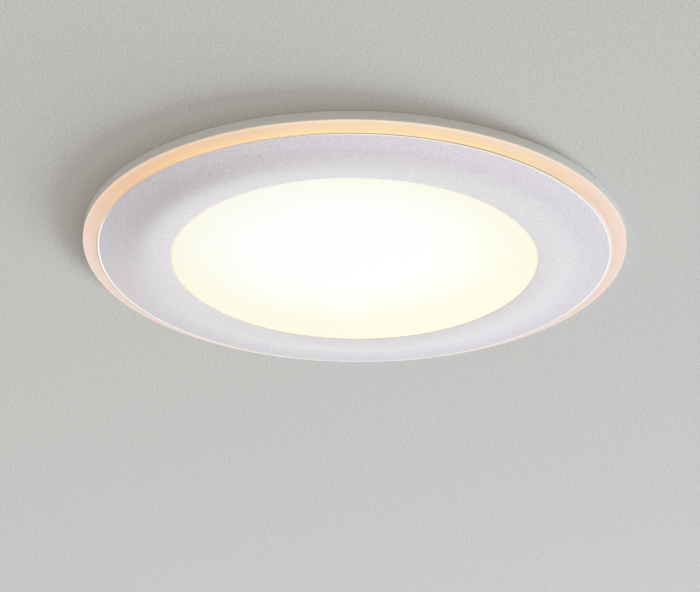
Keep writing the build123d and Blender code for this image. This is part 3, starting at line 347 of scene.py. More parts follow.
bmesh.ops.remove_doubles(profile, verts=profile.verts[:], dist=0.0005 * MM)
satin_trim = finished("satin_trim", profile)

# The paint is faintly lavender. It is whiter on the plateau than on the slope, which is painted
# shade on the slope. The outer slope is painted paler on its near side and darker on its far side,
# as painted light and shade. The mica is drawn coarser than it is, so that it shows.
# The painted highlight line lies further in at the sides, and a painted shadow line lies outside
# it. On the right the trim also ends in a pale hairline, which is a painted highlight.
# The zones below are in millimetres: five of radius, then six across the ring.
to_slope, to_outer_slope = (55, 62), (61, 66)
to_highlight_line, to_shadow_line, to_highlight_hairline = (68.3, 68.45), (68.74, 68.79), (68.6, 68.66)
to_sides, to_right_side, near_to_far = (20, 50), (53, 63), (-62, 45)
near_left_shade_ends, line_moves, glow_fades = (-63.5, -52), (-54, -44), (-45, 30)
line_shift = 0.32
near_left_direction = (0.62, 0.78, 0)
satin_paint, tree = new_finish("satin_silver_paint")
place = add_node(tree, "TexCoord")
level_ring = add_node(tree, "VectorMath", {
    0: place.outputs["Object"], 1: (1, 1, 0)}, operation="MULTIPLY")
radius_out = add_node(tree, "VectorMath", {0: level_ring.outputs["Vector"]}, operation="LENGTH")
on_slope = add_node(tree, "MapRange", {
    "Value": radius_out.outputs["Value"], "From Min": to_slope[0] * MM,
    "From Max": to_slope[1] * MM}, interpolation_type="SMOOTHSTEP")
parts = add_node(tree, "SeparateXYZ", {"Vector": place.outputs["Object"]})
sideways = add_node(tree, "Math", {0: parts.outputs["X"]}, operation="ABSOLUTE")
at_sides = add_node(tree, "MapRange", {
    "Value": sideways.outputs["Value"], "From Min": to_sides[0] * MM, "From Max": to_sides[1] * MM})
near_left = add_node(tree, "VectorMath", {
    0: place.outputs["Object"], 1: near_left_direction}, operation="DOT_PRODUCT")
off_near_left = add_node(tree, "MapRange", {
    "Value": near_left.outputs["Value"], "From Min": line_moves[0] * MM,
    "From Max": line_moves[1] * MM})
line_inwards = add_node(tree, "Math", {
    0: at_sides.outputs["Result"], 1: off_near_left.outputs["Result"]}, operation="MULTIPLY")
edge_radius = add_node(tree, "Math", {
    0: line_inwards.outputs["Value"], 1: line_shift * MM, 2: radius_out.outputs["Value"]},
    operation="MULTIPLY_ADD")
# Painted highlight: a bright white line along the bevel.
on_highlight_line = add_node(tree, "MapRange", {
    "Value": edge_radius.outputs["Value"], "From Min": to_highlight_line[0] * MM,
    "From Max": to_highlight_line[1] * MM})
# Painted shade: the highlight line is left out on the near left.
out_of_near_left_shade = add_node(tree, "MapRange", {
    "Value": near_left.outputs["Value"], "From Min": near_left_shade_ends[0] * MM,
    "From Max": near_left_shade_ends[1] * MM}, interpolation_type="SMOOTHSTEP")
bevel_highlight = add_node(tree, "Math", {
    0: on_highlight_line.outputs["Result"], 1: out_of_near_left_shade.outputs["Result"]}, operation="MULTIPLY")
# Painted shadow: a tan line just outside the highlight, darker away from the sides.
shadow_line = add_node(tree, "MapRange", {
    "Value": edge_radius.outputs["Value"], "From Min": to_shadow_line[0] * MM,
    "From Max": to_shadow_line[1] * MM})
shadow_line_tone = add_node(tree, "Mix", {
    "Factor": line_inwards.outputs["Value"], "A": linear("#B89C8C"), "B": linear("#DCC6BA")},
    data_type="RGBA")
mica = add_node(tree, "TexNoise", {
    "Vector": place.outputs["Object"], "Scale": 1 / (0.45 * MM), "Detail": 3.0, "Roughness": 0.7})
sparkle = add_node(tree, "MapRange", {
    "Value": mica.outputs["Fac"], "From Min": 0.25, "From Max": 0.75})
plateau_tone = add_node(tree, "Mix", {
    "Factor": sparkle.outputs["Result"], "A": linear("#DAD5DB"), "B": linear("#FFFBFF")},
    data_type="RGBA")
# Darker than the plateau's tones: painted shade on the slope.
shaded_slope_tone = add_node(tree, "Mix", {
    "Factor": sparkle.outputs["Result"], "A": linear("#CAC5CC"), "B": linear("#FAF5FC")},
    data_type="RGBA")
on_outer_slope = add_node(tree, "MapRange", {
    "Value": radius_out.outputs["Value"], "From Min": to_outer_slope[0] * MM,
    "From Max": to_outer_slope[1] * MM}, interpolation_type="SMOOTHSTEP")
# Painted light and shade: the outer slope is lighter on its near side and darker on its far side.
near_light_far_shade = add_node(tree, "MapRange", {
    "Value": parts.outputs["Y"], "From Min": near_to_far[0] * MM,
    "From Max": near_to_far[1] * MM, "To Min": 1.06, "To Max": 0.93})
near_light_far_shade_tone = add_node(tree, "VectorMath", {
    0: shaded_slope_tone.outputs["Result"], "Scale": near_light_far_shade.outputs["Result"]}, operation="SCALE")
outer_tone = add_node(tree, "Mix", {
    "Factor": on_outer_slope.outputs["Result"], "A": shaded_slope_tone.outputs["Result"],
    "B": near_light_far_shade_tone.outputs["Vector"]}, data_type="RGBA")
paint_tone = add_node(tree, "Mix", {
    "Factor": on_slope.outputs["Result"], "A": plateau_tone.outputs["Result"],
    "B": outer_tone.outputs["Result"]}, data_type="RGBA")
# Painted highlight: a pale hairline at the trim's outermost edge on the right.
outermost = add_node(tree, "MapRange", {
    "Value": radius_out.outputs["Value"], "From Min": to_highlight_hairline[0] * MM,
    "From Max": to_highlight_hairline[1] * MM})
on_right = add_node(tree, "MapRange", {
    "Value": parts.outputs["X"], "From Min": to_right_side[0] * MM,
    "From Max": to_right_side[1] * MM})
highlight_hairline = add_node(tree, "Math", {
    0: outermost.outputs["Result"], 1: on_right.outputs["Result"]}, operation="MULTIPLY")
shadow_and_hairline_tone = add_node(tree, "Mix", {
    "Factor": highlight_hairline.outputs["Value"], "A": shadow_line_tone.outputs["Result"],
    "B": linear("#FFF4EC")}, data_type="RGBA")
highlight_and_shadow_line_tone = add_node(tree, "Mix", {
    "Factor": shadow_line.outputs["Result"], "A": linear("#FFFDFB"),
    "B": shadow_and_hairline_tone.outputs["Result"]}, data_type="RGBA")
trim_tone = add_node(tree, "Mix", {
    "Factor": bevel_highlight.outputs["Value"], "A": paint_tone.outputs["Result"],
    "B": highlight_and_shadow_line_tone.outputs["Result"]}, data_type="RGBA")
satin = add_node(tree, "MapRange", {
    "Value": mica.outputs["Fac"], "To Min": 0.28, "To Max": 0.38})
dullness = add_node(tree, "Mix", {
    "Factor": bevel_highlight.outputs["Value"], "A": satin.outputs["Result"], "B": 0.25})
metal_share = add_node(tree, "MapRange", {
    "Value": bevel_highlight.outputs["Value"], "To Min": 0.34, "To Max": 0.05})
# The highlight line and the hairline also get a painted glow, an emission that stands in for the
# warm light of the acrylic beside them, most of it on the left.
painted_glow_by_side = add_node(tree, "MapRange", {
    "Value": parts.outputs["X"], "From Min": glow_fades[0] * MM, "From Max": glow_fades[1] * MM,
    "To Min": 0.32, "To Max": 0.08})
below_shadow_line = add_node(tree, "Math", {
    0: bevel_highlight.outputs["Value"], 1: shadow_line.outputs["Result"]},
    operation="SUBTRACT", use_clamp=True)
lit_lines = add_node(tree, "Math", {
    0: below_shadow_line.outputs["Value"], 1: highlight_hairline.outputs["Value"]}, operation="MAXIMUM")
painted_glow = add_node(tree, "Math", {
    0: lit_lines.outputs["Value"], 1: painted_glow_by_side.outputs["Result"]}, operation="MULTIPLY")
bump = add_node(tree, "Bump", {
    "Strength": 0.06, "Distance": 0.03 * MM, "Height": mica.outputs["Fac"]})
shader = add_node(tree, "BsdfPrincipled", {
    "Base Color": trim_tone.outputs["Result"], "Metallic": metal_share.outputs["Result"],
    "Roughness": dullness.outputs["Result"], "Normal": bump.outputs["Normal"],
    "Emission Color": linear("#FFEDE2"), "Emission Strength": painted_glow.outputs["Value"]})
add_node(tree, "OutputMaterial", {"Surface": shader.outputs["BSDF"]})
satin_trim.data.materials.append(satin_paint)
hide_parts("front_trim")
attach(satin_trim, "lamp")

# Glow ring: a stepped ring of cast acrylic round the trim, lit by its own warm LEDs. Its lip
# laps under the flange's rim. The riser is golden, the lip paler and pinker. Both are painted a
# deeper orange on the near left as shade, the lip is painted greyer on the far side as shade,
# and the near side's brighter gold is painted light.
guide_step, riser, lip_body, lip_edge = 67.0, 68.4, 71.9, 72.5
lip_thickness, lip_lap, guide_thickness = 1.95, 0.4, 1.6
riser_rounding, lip_rounding = 0.3, 0.2
plate_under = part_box("halo_light_guide")[1].z / MM
lip_under, guide_top = plate_under - lip_thickness, guide_under + guide_thickness
lap_top = lip_under + lip_lap
glow_ring = ring_from("glow_ring", [
    (inner_wall, guide_under), (riser, guide_under), (riser, lip_under), (lip_edge, lip_under),
    (lip_edge, lap_top), (lip_body, lap_top), (lip_body, plate_under), (guide_step, plate_under),
    (guide_step, guide_top), (inner_wall, guide_top)],
    rounded=[(2, riser_rounding), (3, lip_rounding)], facets=trim_facets)

# Zones of the glow in millimetres: heights at the riser's foot, radii across the lip and round
# its edge, where a painted highlight lies, and places towards the near left, the near side and the
# far side, where painted shade and light lie.
riser_foot, across_lip, edge_highlight_band = (lip_under + 0.05, lip_under - 0.5), (68.5, 71), (71.9, 72.4)
to_near_left_shade, to_near_side, to_near_riser, to_far_side = (-54, -73), (-25, -70), (-34, -58), (0, 32)
near_left_shade_direction = (0.75, 0.66, 0)
acrylic, tree = new_finish("lit_acrylic")
place = add_node(tree, "TexCoord")
parts = add_node(tree, "SeparateXYZ", {"Vector": place.outputs["Object"]})
level_ring = add_node(tree, "VectorMath", {
    0: place.outputs["Object"], 1: (1, 1, 0)}, operation="MULTIPLY")
radius_out = add_node(tree, "VectorMath", {0: level_ring.outputs["Vector"]}, operation="LENGTH")
on_riser = add_node(tree, "MapRange", {
    "Value": parts.outputs["Z"], "From Min": riser_foot[0] * MM, "From Max": riser_foot[1] * MM})
on_lip = add_node(tree, "MapRange", {
    "Value": radius_out.outputs["Value"], "From Min": across_lip[0] * MM,
    "From Max": across_lip[1] * MM}, interpolation_type="SMOOTHSTEP")
on_edge_highlight = add_node(tree, "MapRange", {
    "Value": radius_out.outputs["Value"], "From Min": edge_highlight_band[0] * MM,
    "From Max": edge_highlight_band[1] * MM})
across = add_node(tree, "VectorMath", {
    0: place.outputs["Object"], 1: near_left_shade_direction}, operation="DOT_PRODUCT")
# Painted shade: the glow turns a deeper orange towards the near left.
near_left_shade = add_node(tree, "MapRange", {
    "Value": across.outputs["Value"], "From Min": to_near_left_shade[0] * MM,
    "From Max": to_near_left_shade[1] * MM})
# Painted light: paler and golder tones on the near side.
on_near_side = add_node(tree, "MapRange", {
    "Value": parts.outputs["Y"], "From Min": to_near_side[0] * MM,
    "From Max": to_near_side[1] * MM})
on_near_riser = add_node(tree, "MapRange", {
    "Value": parts.outputs["Y"], "From Min": to_near_riser[0] * MM,
    "From Max": to_near_riser[1] * MM})
# Painted shade: the lip's glow is greyer on the far side.
far_side_shade = add_node(tree, "MapRange", {
    "Value": parts.outputs["Y"], "From Min": to_far_side[0] * MM,
    "From Max": to_far_side[1] * MM})
inner_far_shade_tone = add_node(tree, "Mix", {
    "Factor": far_side_shade.outputs["Result"], "A": linear("#DAC3B6"), "B": linear("#CAB9B7")},
    data_type="RGBA")
inner_pale = add_node(tree, "Mix", {
    "Factor": on_near_side.outputs["Result"], "A": inner_far_shade_tone.outputs["Result"],
    "B": linear("#F4D8AC")}, data_type="RGBA")
inner_tone = add_node(tree, "Mix", {
    "Factor": near_left_shade.outputs["Result"], "A": inner_pale.outputs["Result"],
    "B": linear("#EFC797")}, data_type="RGBA")
outer_far_shade_tone = add_node(tree, "Mix", {
    "Factor": far_side_shade.outputs["Result"], "A": linear("#E3CDC2"), "B": linear("#D6C4BD")},
    data_type="RGBA")
pale_tone = add_node(tree, "Mix", {
    "Factor": on_near_side.outputs["Result"], "A": outer_far_shade_tone.outputs["Result"],
    "B": linear("#E7CDB0")}, data_type="RGBA")
outer_tone = add_node(tree, "Mix", {
    "Factor": near_left_shade.outputs["Result"], "A": pale_tone.outputs["Result"],
    "B": linear("#E2BC99")}, data_type="RGBA")
side_tone = add_node(tree, "Mix", {
    "Factor": near_left_shade.outputs["Result"], "A": linear("#E5CCB2"), "B": linear("#D7AA88")},
    data_type="RGBA")
gold_tone = add_node(tree, "Mix", {
    "Factor": near_left_shade.outputs["Result"], "A": linear("#FAE2B0"), "B": linear("#FFD19C")},
    data_type="RGBA")
riser_tone = add_node(tree, "Mix", {
    "Factor": on_near_riser.outputs["Result"], "A": side_tone.outputs["Result"],
    "B": gold_tone.outputs["Result"]}, data_type="RGBA")
lip_tone = add_node(tree, "Mix", {
    "Factor": on_lip.outputs["Result"], "A": inner_tone.outputs["Result"],
    "B": outer_tone.outputs["Result"]}, data_type="RGBA")
step_tone = add_node(tree, "Mix", {
    "Factor": on_riser.outputs["Result"], "A": lip_tone.outputs["Result"],
    "B": riser_tone.outputs["Result"]}, data_type="RGBA")
# Painted highlight: a paler band round the lip's outer edge.
pale_edge_highlight = add_node(tree, "Mix", {
    "Factor": on_near_side.outputs["Result"], "A": linear("#EFDACA"), "B": linear("#F6E2C9")},
    data_type="RGBA")
edge_highlight_tone = add_node(tree, "Mix", {
    "Factor": near_left_shade.outputs["Result"], "A": pale_edge_highlight.outputs["Result"],
    "B": linear("#EFD0B6")}, data_type="RGBA")
glow_tone = add_node(tree, "Mix", {
    "Factor": on_edge_highlight.outputs["Result"], "A": step_tone.outputs["Result"],
    "B": edge_highlight_tone.outputs["Result"]}, data_type="RGBA")
streak = add_node(tree, "TexNoise", {
    "Vector": place.outputs["Object"], "Scale": 1 / (6 * MM), "Detail": 2.0})
glow_level = add_node(tree, "MapRange", {
    "Value": streak.outputs["Fac"], "To Min": 0.82, "To Max": 0.94})
shader = add_node(tree, "BsdfPrincipled", {
    "Base Color": linear("#705E4E"), "Roughness": 0.35, "IOR": 1.49,
    "Emission Color": glow_tone.outputs["Result"], "Emission Strength": glow_level.outputs["Result"]})
add_node(tree, "OutputMaterial", {"Surface": shader.outputs["BSDF"]})
glow_ring.data.materials.append(acrylic)
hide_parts("halo_light_guide")
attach(glow_ring, "lamp")

# Spring clips: each has a bracket and an arm stamped from zinc-plated sheet steel, and a
# headed pin of bright drawn steel that the arm turns on. The plating shows a faint spangle over
# the marks of the rolling.
plated_sheet, tree = new_finish("zinc_plated_sheet")
place = add_node(tree, "TexCoord")
rolled = add_node(tree, "Mapping", {"Vector": place.outputs["Object"], "Scale": (1, 9, 1)})
rolling = add_node(tree, "TexNoise", {
    "Vector": rolled.outputs["Vector"], "Scale": 1 / (5 * MM), "Detail": 5.0, "Roughness": 0.6})
spangle = add_node(tree, "TexVoronoi", {
    "Vector": place.outputs["Object"], "Scale": 1 / (2.5 * MM)}, feature="F1")
sheet_tone = add_node(tree, "Mix", {
    "Factor": rolling.outputs["Fac"], "A": linear("#A9B0B6"), "B": linear("#D0D3D2")},
    data_type="RGBA")
spangled = add_node(tree, "Mix", {
    "Factor": 0.12, "A": sheet_tone.outputs["Result"], "B": spangle.outputs["Color"]},
    data_type="RGBA", blend_type="SOFT_LIGHT")
polish = add_node(tree, "MapRange", {
    "Value": rolling.outputs["Fac"], "To Min": 0.26, "To Max": 0.42})
soft_edge = add_node(tree, "Bevel", {"Radius": 0.22 * MM}, samples=4)
bump = add_node(tree, "Bump", {
    "Strength": 0.08, "Distance": 0.03 * MM, "Height": rolling.outputs["Fac"],
    "Normal": soft_edge.outputs["Normal"]})
shader = add_node(tree, "BsdfPrincipled", {
    "Base Color": spangled.outputs["Result"], "Metallic": 1.0,
    "Roughness": polish.outputs["Result"], "Normal": bump.outputs["Normal"]})
add_node(tree, "OutputMaterial", {"Surface": shader.outputs["BSDF"]})
dress(plated_sheet, "clip_bracket_right", "clip_bracket_left", "clip_arm_right", "clip_arm_left")

# Drawing leaves fine bright lines, which run along the clip pins.
drawn_steel, tree = new_finish("bright_drawn_steel")
place = add_node(tree, "TexCoord")
along = add_node(tree, "Mapping", {"Vector": place.outputs["Object"], "Scale": (1, 0.05, 1)})
draw_lines = add_node(tree, "TexNoise", {
    "Vector": along.outputs["Vector"], "Scale": 1 / (0.3 * MM), "Detail": 2.0})
pin_tone = add_node(tree, "Mix", {
    "Factor": draw_lines.outputs["Fac"], "A": linear("#A7AAAD"), "B": linear("#C9CBCC")},
    data_type="RGBA")
shader = add_node(tree, "BsdfPrincipled", {
    "Base Color": pin_tone.outputs["Result"], "Metallic": 1.0, "Roughness": 0.24})
add_node(tree, "OutputMaterial", {"Surface": shader.outputs["BSDF"]})
dress(drawn_steel, "clip_pin_right", "clip_pin_left", "cover_hinge_pin")

# Torsion springs: drawn spring wire wound round each clip pin, one leg hooked through the
# bracket and the other lying on the arm. The real springs wind up as the arms fold; these are
# built in one fixed shape.
wire, coil, coil_length, coil_steps = 0.6, 2.3, 9.16, 150
pivot_x, pivot_z, hook_run, leg_run = 44.0, 28.0, 7.5, 13.0
full_turns, arm_slope = 5, 18.53
turns_angle, arm_down = math.radians(full_turns * 360 - arm_slope), math.radians(arm_slope)

# Drawn wire is darker than the plated sheet, and faintly mottled.
spring_wire = mottled_finish(
    "drawn_spring_wire", size=0.8, detail=3.0, tones=("#84888C", "#A9ACAE"), roughness=0.27,
    metallic=1.0)

for side, hand in (("right", 0.0), ("left", math.pi)):
    mesh = bmesh.new()
    start = Vector((pivot_x, -coil_length / 2, pivot_z - coil)) * MM
    bmesh.ops.create_circle(
        mesh, segments=16, radius=wire * MM,
        matrix=Matrix.Translation(start - Vector((hook_run * MM, 0, 0)))
        @ Matrix.Rotation(math.pi / 2, 4, "Y"), cap_ends=True)
    rim = mesh.faces[:][0].edges[:]
    made = bmesh.ops.extrude_edge_only(mesh, edges=rim)["geom"]
    moved = [v for v in made if isinstance(v, bmesh.types.BMVert)]
    bmesh.ops.translate(mesh, verts=moved, vec=(hook_run * MM, 0, 0))
    rim = [e for e in made if isinstance(e, bmesh.types.BMEdge) and all(v in moved for v in e.verts)]
    made = bmesh.ops.spin(
        mesh, geom=moved + rim, cent=Vector((pivot_x, 0, pivot_z)) * MM, axis=(0, -1, 0),
        dvec=(0, coil_length * MM / coil_steps, 0), angle=turns_angle, steps=coil_steps)["geom_last"]
    rim = [e for e in made if isinstance(e, bmesh.types.BMEdge)]
    made = bmesh.ops.extrude_edge_only(mesh, edges=rim)["geom"]
    moved = [v for v in made if isinstance(v, bmesh.types.BMVert)]
    bmesh.ops.translate(mesh, verts=moved, vec=Vector(
        (math.cos(arm_down), 0, -math.sin(arm_down))) * leg_run * MM)
    bmesh.ops.contextual_create(mesh, geom=moved)
    bmesh.ops.remove_doubles(mesh, verts=mesh.verts[:], dist=0.001 * MM)
    bmesh.ops.rotate(mesh, verts=mesh.verts[:], cent=(0, 0, 0), matrix=Matrix.Rotation(hand, 3, "Z"))
    spring = finished("torsion_spring_" + side, mesh, smooth_angle=50)
    spring.data.materials.append(spring_wire)
    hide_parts("clip_spring_" + side)
    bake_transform(spring)

# Sleeves: translucent silicone caps pushed over the arms' tips, so that they grip the ceiling
# board without marking it. The silicone is milky, because light scatters inside it.
clear_silicone, tree = new_finish("translucent_silicone")
place = add_node(tree, "TexCoord")
haze = add_node(tree, "TexNoise", {
    "Vector": place.outputs["Object"], "Scale": 1 / (1.5 * MM), "Detail": 3.0})
sleeve_tone = add_node(tree, "Mix", {
    "Factor": haze.outputs["Fac"], "A": linear("#D9DBD9"), "B": linear("#E6E7E4")}, data_type="RGBA")
soft_edge = add_node(tree, "Bevel", {"Radius": 0.3 * MM}, samples=4)
shader = add_node(tree, "BsdfPrincipled", {
    "Base Color": sleeve_tone.outputs["Result"], "Roughness": 0.42, "IOR": 1.41,
    "Subsurface Weight": 0.4, "Subsurface Radius": (1, 1, 1), "Subsurface Scale": 1.2 * MM,
    "Normal": soft_edge.outputs["Normal"]})
add_node(tree, "OutputMaterial", {"Surface": shader.outputs["BSDF"]})
dress(clear_silicone, "clip_sleeve_right", "clip_sleeve_left")

# Driver case: base, lid and hinged wiring cover, injection-moulded in white flame-retardant
# polycarbonate. The mould is spark-eroded, so the faces have a fine dull grain, which is drawn
# coarser than it is, so that it shows.
case_plastic, tree = new_finish("moulded_polycarbonate")
place = add_node(tree, "TexCoord")
spark = add_node(tree, "TexNoise", {
    "Vector": place.outputs["Object"], "Scale": 1 / (0.4 * MM), "Detail": 2.0, "Roughness": 0.6})
cloud = add_node(tree, "TexNoise", {
    "Vector": place.outputs["Object"], "Scale": 1 / (20 * MM), "Detail": 3.0})
case_tone = add_node(tree, "Mix", {
    "Factor": cloud.outputs["Fac"], "A": linear("#DEDEDA"), "B": linear("#E8E8E4")}, data_type="RGBA")
dullness = add_node(tree, "MapRange", {
    "Value": spark.outputs["Fac"], "To Min": 0.44, "To Max": 0.6})
soft_edge = add_node(tree, "Bevel", {"Radius": 0.4 * MM}, samples=6)
bump = add_node(tree, "Bump", {
    "Strength": 0.15, "Distance": 0.04 * MM, "Height": spark.outputs["Fac"],
    "Normal": soft_edge.outputs["Normal"]})
shader = add_node(tree, "BsdfPrincipled", {
    "Base Color": case_tone.outputs["Result"], "Roughness": dullness.outputs["Result"],
    "IOR": 1.58, "Normal": bump.outputs["Normal"]})
add_node(tree, "OutputMaterial", {"Surface": shader.outputs["BSDF"]})
dress(case_plastic, "driver_base", "driver_lid", "terminal_cover")

# Grommets and cable clamp: black rubber rings snapped into the case's holes, and a black
# nylon bar that holds the mains cable inside its inlet. The rubber is dull, with a slight bloom.
black_rubber = mottled_finish(
    "black_rubber", size=2, detail=4.0, tones=("#1D1D1E", "#2C2C2D"), roughness=0.62, edge=0.3)
dress(black_rubber, "cable_grommet", "lead_grommets")

# Moulded nylon: charcoal black with a low sheen.
black_nylon = mottled_finish(
    "black_nylon", size=0.5, detail=2.0, tones=("#262729", "#343538"), roughness=0.45, edge=0.25)
dress(black_nylon, "cable_clamp")

# Driver board: glass-epoxy with a green mask over etched tracks, carrying a transformer in
# yellow tape, sleeved capacitors, a copper choke and moulded chips. Copper under the mask shows
# as lighter fields.
green_board, tree = new_finish("green_circuit_board")
place = add_node(tree, "TexCoord")
etched = add_node(tree, "TexVoronoi", {
    "Vector": place.outputs["Object"], "Scale": 1 / (3.5 * MM)},
    feature="DISTANCE_TO_EDGE", distance="MANHATTAN")
track_step = add_node(tree, "MapRange", {
    "Value": etched.outputs["Distance"], "From Min": 0.06, "From Max": 0.09})
board_tone = add_node(tree, "Mix", {
    "Factor": track_step.outputs["Result"], "A": linear("#1C5A34"), "B": linear("#2F7A48")},
    data_type="RGBA")
shader = add_node(tree, "BsdfPrincipled", {
    "Base Color": board_tone.outputs["Result"], "Roughness": 0.35})
add_node(tree, "OutputMaterial", {"Surface": shader.outputs["BSDF"]})
dress(green_board, "driver_board")

# Polyester tape wound in overlapping turns, which show as faint bands.
yellow_tape, tree = new_finish("transformer_tape")
place = add_node(tree, "TexCoord")
laps = add_node(tree, "TexWave", {
    "Vector": place.outputs["Object"], "Scale": wave_repeat / (3 * MM), "Distortion": 0.6},
    wave_type="BANDS", bands_direction="Z")
tape_tone = add_node(tree, "Mix", {
    "Factor": laps.outputs["Fac"], "A": linear("#D8B63C"), "B": linear("#E6CB62")}, data_type="RGBA")
shader = add_node(tree, "BsdfPrincipled", {"Base Color": tape_tone.outputs["Result"], "Roughness": 0.4})
add_node(tree, "OutputMaterial", {"Surface": shader.outputs["BSDF"]})
dress(yellow_tape, "driver_transformer")

# Plastic sleeve shrunk on to the can: dark blue and fairly glossy.
can_sleeve = mottled_finish(
    "capacitor_sleeve", size=2, detail=2.0, tones=("#23283A", "#2E3550"), roughness=0.3)
dress(can_sleeve, "driver_capacitors")

# Enamelled copper wire wound in close turns, which show as ridges.
copper_wire, tree = new_finish("enamelled_copper")
place = add_node(tree, "TexCoord")
windings = add_node(tree, "TexWave", {
    "Vector": place.outputs["Object"], "Scale": wave_repeat / (0.6 * MM)},
    wave_type="BANDS", bands_direction="Z")
copper_tone = add_node(tree, "Mix", {
    "Factor": windings.outputs["Fac"], "A": linear("#8A4A2C"), "B": linear("#C0764C")},
    data_type="RGBA")
bump = add_node(tree, "Bump", {
    "Strength": 0.5, "Distance": 0.15 * MM, "Height": windings.outputs["Fac"]})
shader = add_node(tree, "BsdfPrincipled", {
    "Base Color": copper_tone.outputs["Result"], "Metallic": 0.9, "Roughness": 0.32,
    "Normal": bump.outputs["Normal"]})
add_node(tree, "OutputMaterial", {"Surface": shader.outputs["BSDF"]})
dress(copper_wire, "driver_choke")

# Moulded epoxy with a mineral filler: black, dull and finely uneven.
chip_epoxy = mottled_finish(
    "moulded_epoxy", size=0.3, detail=2.0, tones=("#1B1B1C", "#272728"), roughness=0.55)
dress(chip_epoxy, "driver_chips")

# Terminal block: grey polyamide with two push-in poles, tinned pins soldered to the board and
# an orange release button over each pole.
block_plastic = mottled_finish(
    "grey_polyamide", size=0.5, detail=2.0, tones=("#B4B8BA", "#C2C5C6"), roughness=0.5, edge=0.25)
dress(block_plastic, "terminal_block")

# Tinned brass: a warm silver, slightly clouded.
tinned = mottled_finish(
    "tinned_brass", size=0.8, detail=3.0, tones=("#BDB9AE", "#D3CFC4"), roughness=0.35, metallic=1.0)
dress(tinned, "terminal_pins")

# Moulded polyamide in a signal orange, half matt.
button_plastic = mottled_finish(
    "orange_polyamide", size=0.5, detail=2.0, tones=("#E0701C", "#EA8030"), roughness=0.42, edge=0.25)
dress(button_plastic, "release_button_live", "release_button_neutral")

# Leads: two pairs of silicone-insulated wire from the driver to the LED boards, red for the
# positive and black for the negative one. The insulation is a little scuffed, so its shine
# varies.
lead_colours, tree = new_finish("lead_insulation")
place = add_node(tree, "TexCoord")
parts = add_node(tree, "SeparateXYZ", {"Vector": place.outputs["Object"]})
which = add_node(tree, "Math", {0: parts.outputs["X"], 1: 0.0}, operation="GREATER_THAN")
scuff = add_node(tree, "TexNoise", {
    "Vector": place.outputs["Object"], "Scale": 1 / (1.5 * MM), "Detail": 3.0})
pair_tone = add_node(tree, "Mix", {
    "Factor": which.outputs["Value"], "A": linear("#232324"), "B": linear("#B3241E")},
    data_type="RGBA")
worn = add_node(tree, "MapRange", {
    "Value": scuff.outputs["Fac"], "To Min": 0.32, "To Max": 0.5})
shader = add_node(tree, "BsdfPrincipled", {
    "Base Color": pair_tone.outputs["Result"], "Roughness": worn.outputs["Result"]})
add_node(tree, "OutputMaterial", {"Surface": shader.outputs["BSDF"]})
dress(lead_colours, "main_leads", "halo_leads")

# Room: a plain pale ceiling with the cut-out, seen from below only, so that the lamp's back
# shows from above. A tall window to the far right, in two parts, lights it at a low angle, and
# a soft box lights the lamp.
cut_out, ceiling_gap, ceiling_spread, ceiling_facets = 52.5, 0.02, 50, 128
ceiling_mesh = bmesh.new()
bmesh.ops.create_circle(
    ceiling_mesh, segments=ceiling_facets, radius=cut_out * MM,
    matrix=Matrix.Translation((0, 0, -ceiling_gap * MM)))
rim = ceiling_mesh.edges[:]
outer = bmesh.ops.extrude_edge_only(ceiling_mesh, edges=rim)["geom"]
bmesh.ops.scale(
    ceiling_mesh, vec=(ceiling_spread, ceiling_spread, 1),
    verts=[v for v in outer if isinstance(v, bmesh.types.BMVert)])
bmesh.ops.recalc_face_normals(ceiling_mesh, faces=ceiling_mesh.faces[:])
for face in ceiling_mesh.faces:
    if face.normal.z > 0:
        face.normal_flip()
ceiling_data = bpy.data.meshes.new("ceiling")
ceiling_mesh.to_mesh(ceiling_data)
ceiling_mesh.free()
ceiling = bpy.data.objects.new("ceiling", ceiling_data)
bpy.context.scene.collection.objects.link(ceiling)

# Matt emulsion with a fine, even stipple, which is drawn coarser than it is, so that it shows.
wall_paint, tree = new_finish("matt_ceiling_paint")
place = add_node(tree, "TexCoord")
stipple = add_node(tree, "TexNoise", {
    "Vector": place.outputs["Object"], "Scale": 1 / (0.7 * MM), "Detail": 3.0, "Roughness": 0.6})
wall_tone = add_node(tree, "Mix", {
    "Factor": stipple.outputs["Fac"], "A": linear("#A9A9A8"), "B": linear("#E4E3E3")},
    data_type="RGBA")
bump = add_node(tree, "Bump", {
    "Strength": 0.1, "Distance": 0.1 * MM, "Height": stipple.outputs["Fac"]})
matt = add_node(tree, "BsdfDiffuse", {
    "Color": wall_tone.outputs["Result"], "Normal": bump.outputs["Normal"]})
open_side = add_node(tree, "BsdfTransparent")
facing = add_node(tree, "NewGeometry")
rays = add_node(tree, "LightPath")
seen_from_above = add_node(tree, "Math", {
    0: facing.outputs["Backfacing"], 1: rays.outputs["Is Camera Ray"]}, operation="MULTIPLY")
sides = add_node(tree, "MixShader", {
    0: seen_from_above.outputs["Value"], 1: matt.outputs["BSDF"], 2: open_side.outputs["BSDF"]})
add_node(tree, "OutputMaterial", {"Surface": sides.outputs["Shader"]})
ceiling.data.materials.append(wall_paint)

world = bpy.data.worlds.new("room")
world.use_nodes = True
bpy.context.scene.world = world
tree = world.node_tree
tree.nodes.clear()
rays = add_node(tree, "LightPath")
seen = add_node(tree, "Math", {
    0: rays.outputs["Is Camera Ray"], 1: rays.outputs["Is Glossy Ray"]}, operation="MAXIMUM")
seen_too = add_node(tree, "Math", {
    0: seen.outputs["Value"], 1: rays.outputs["Is Transmission Ray"]}, operation="MAXIMUM")
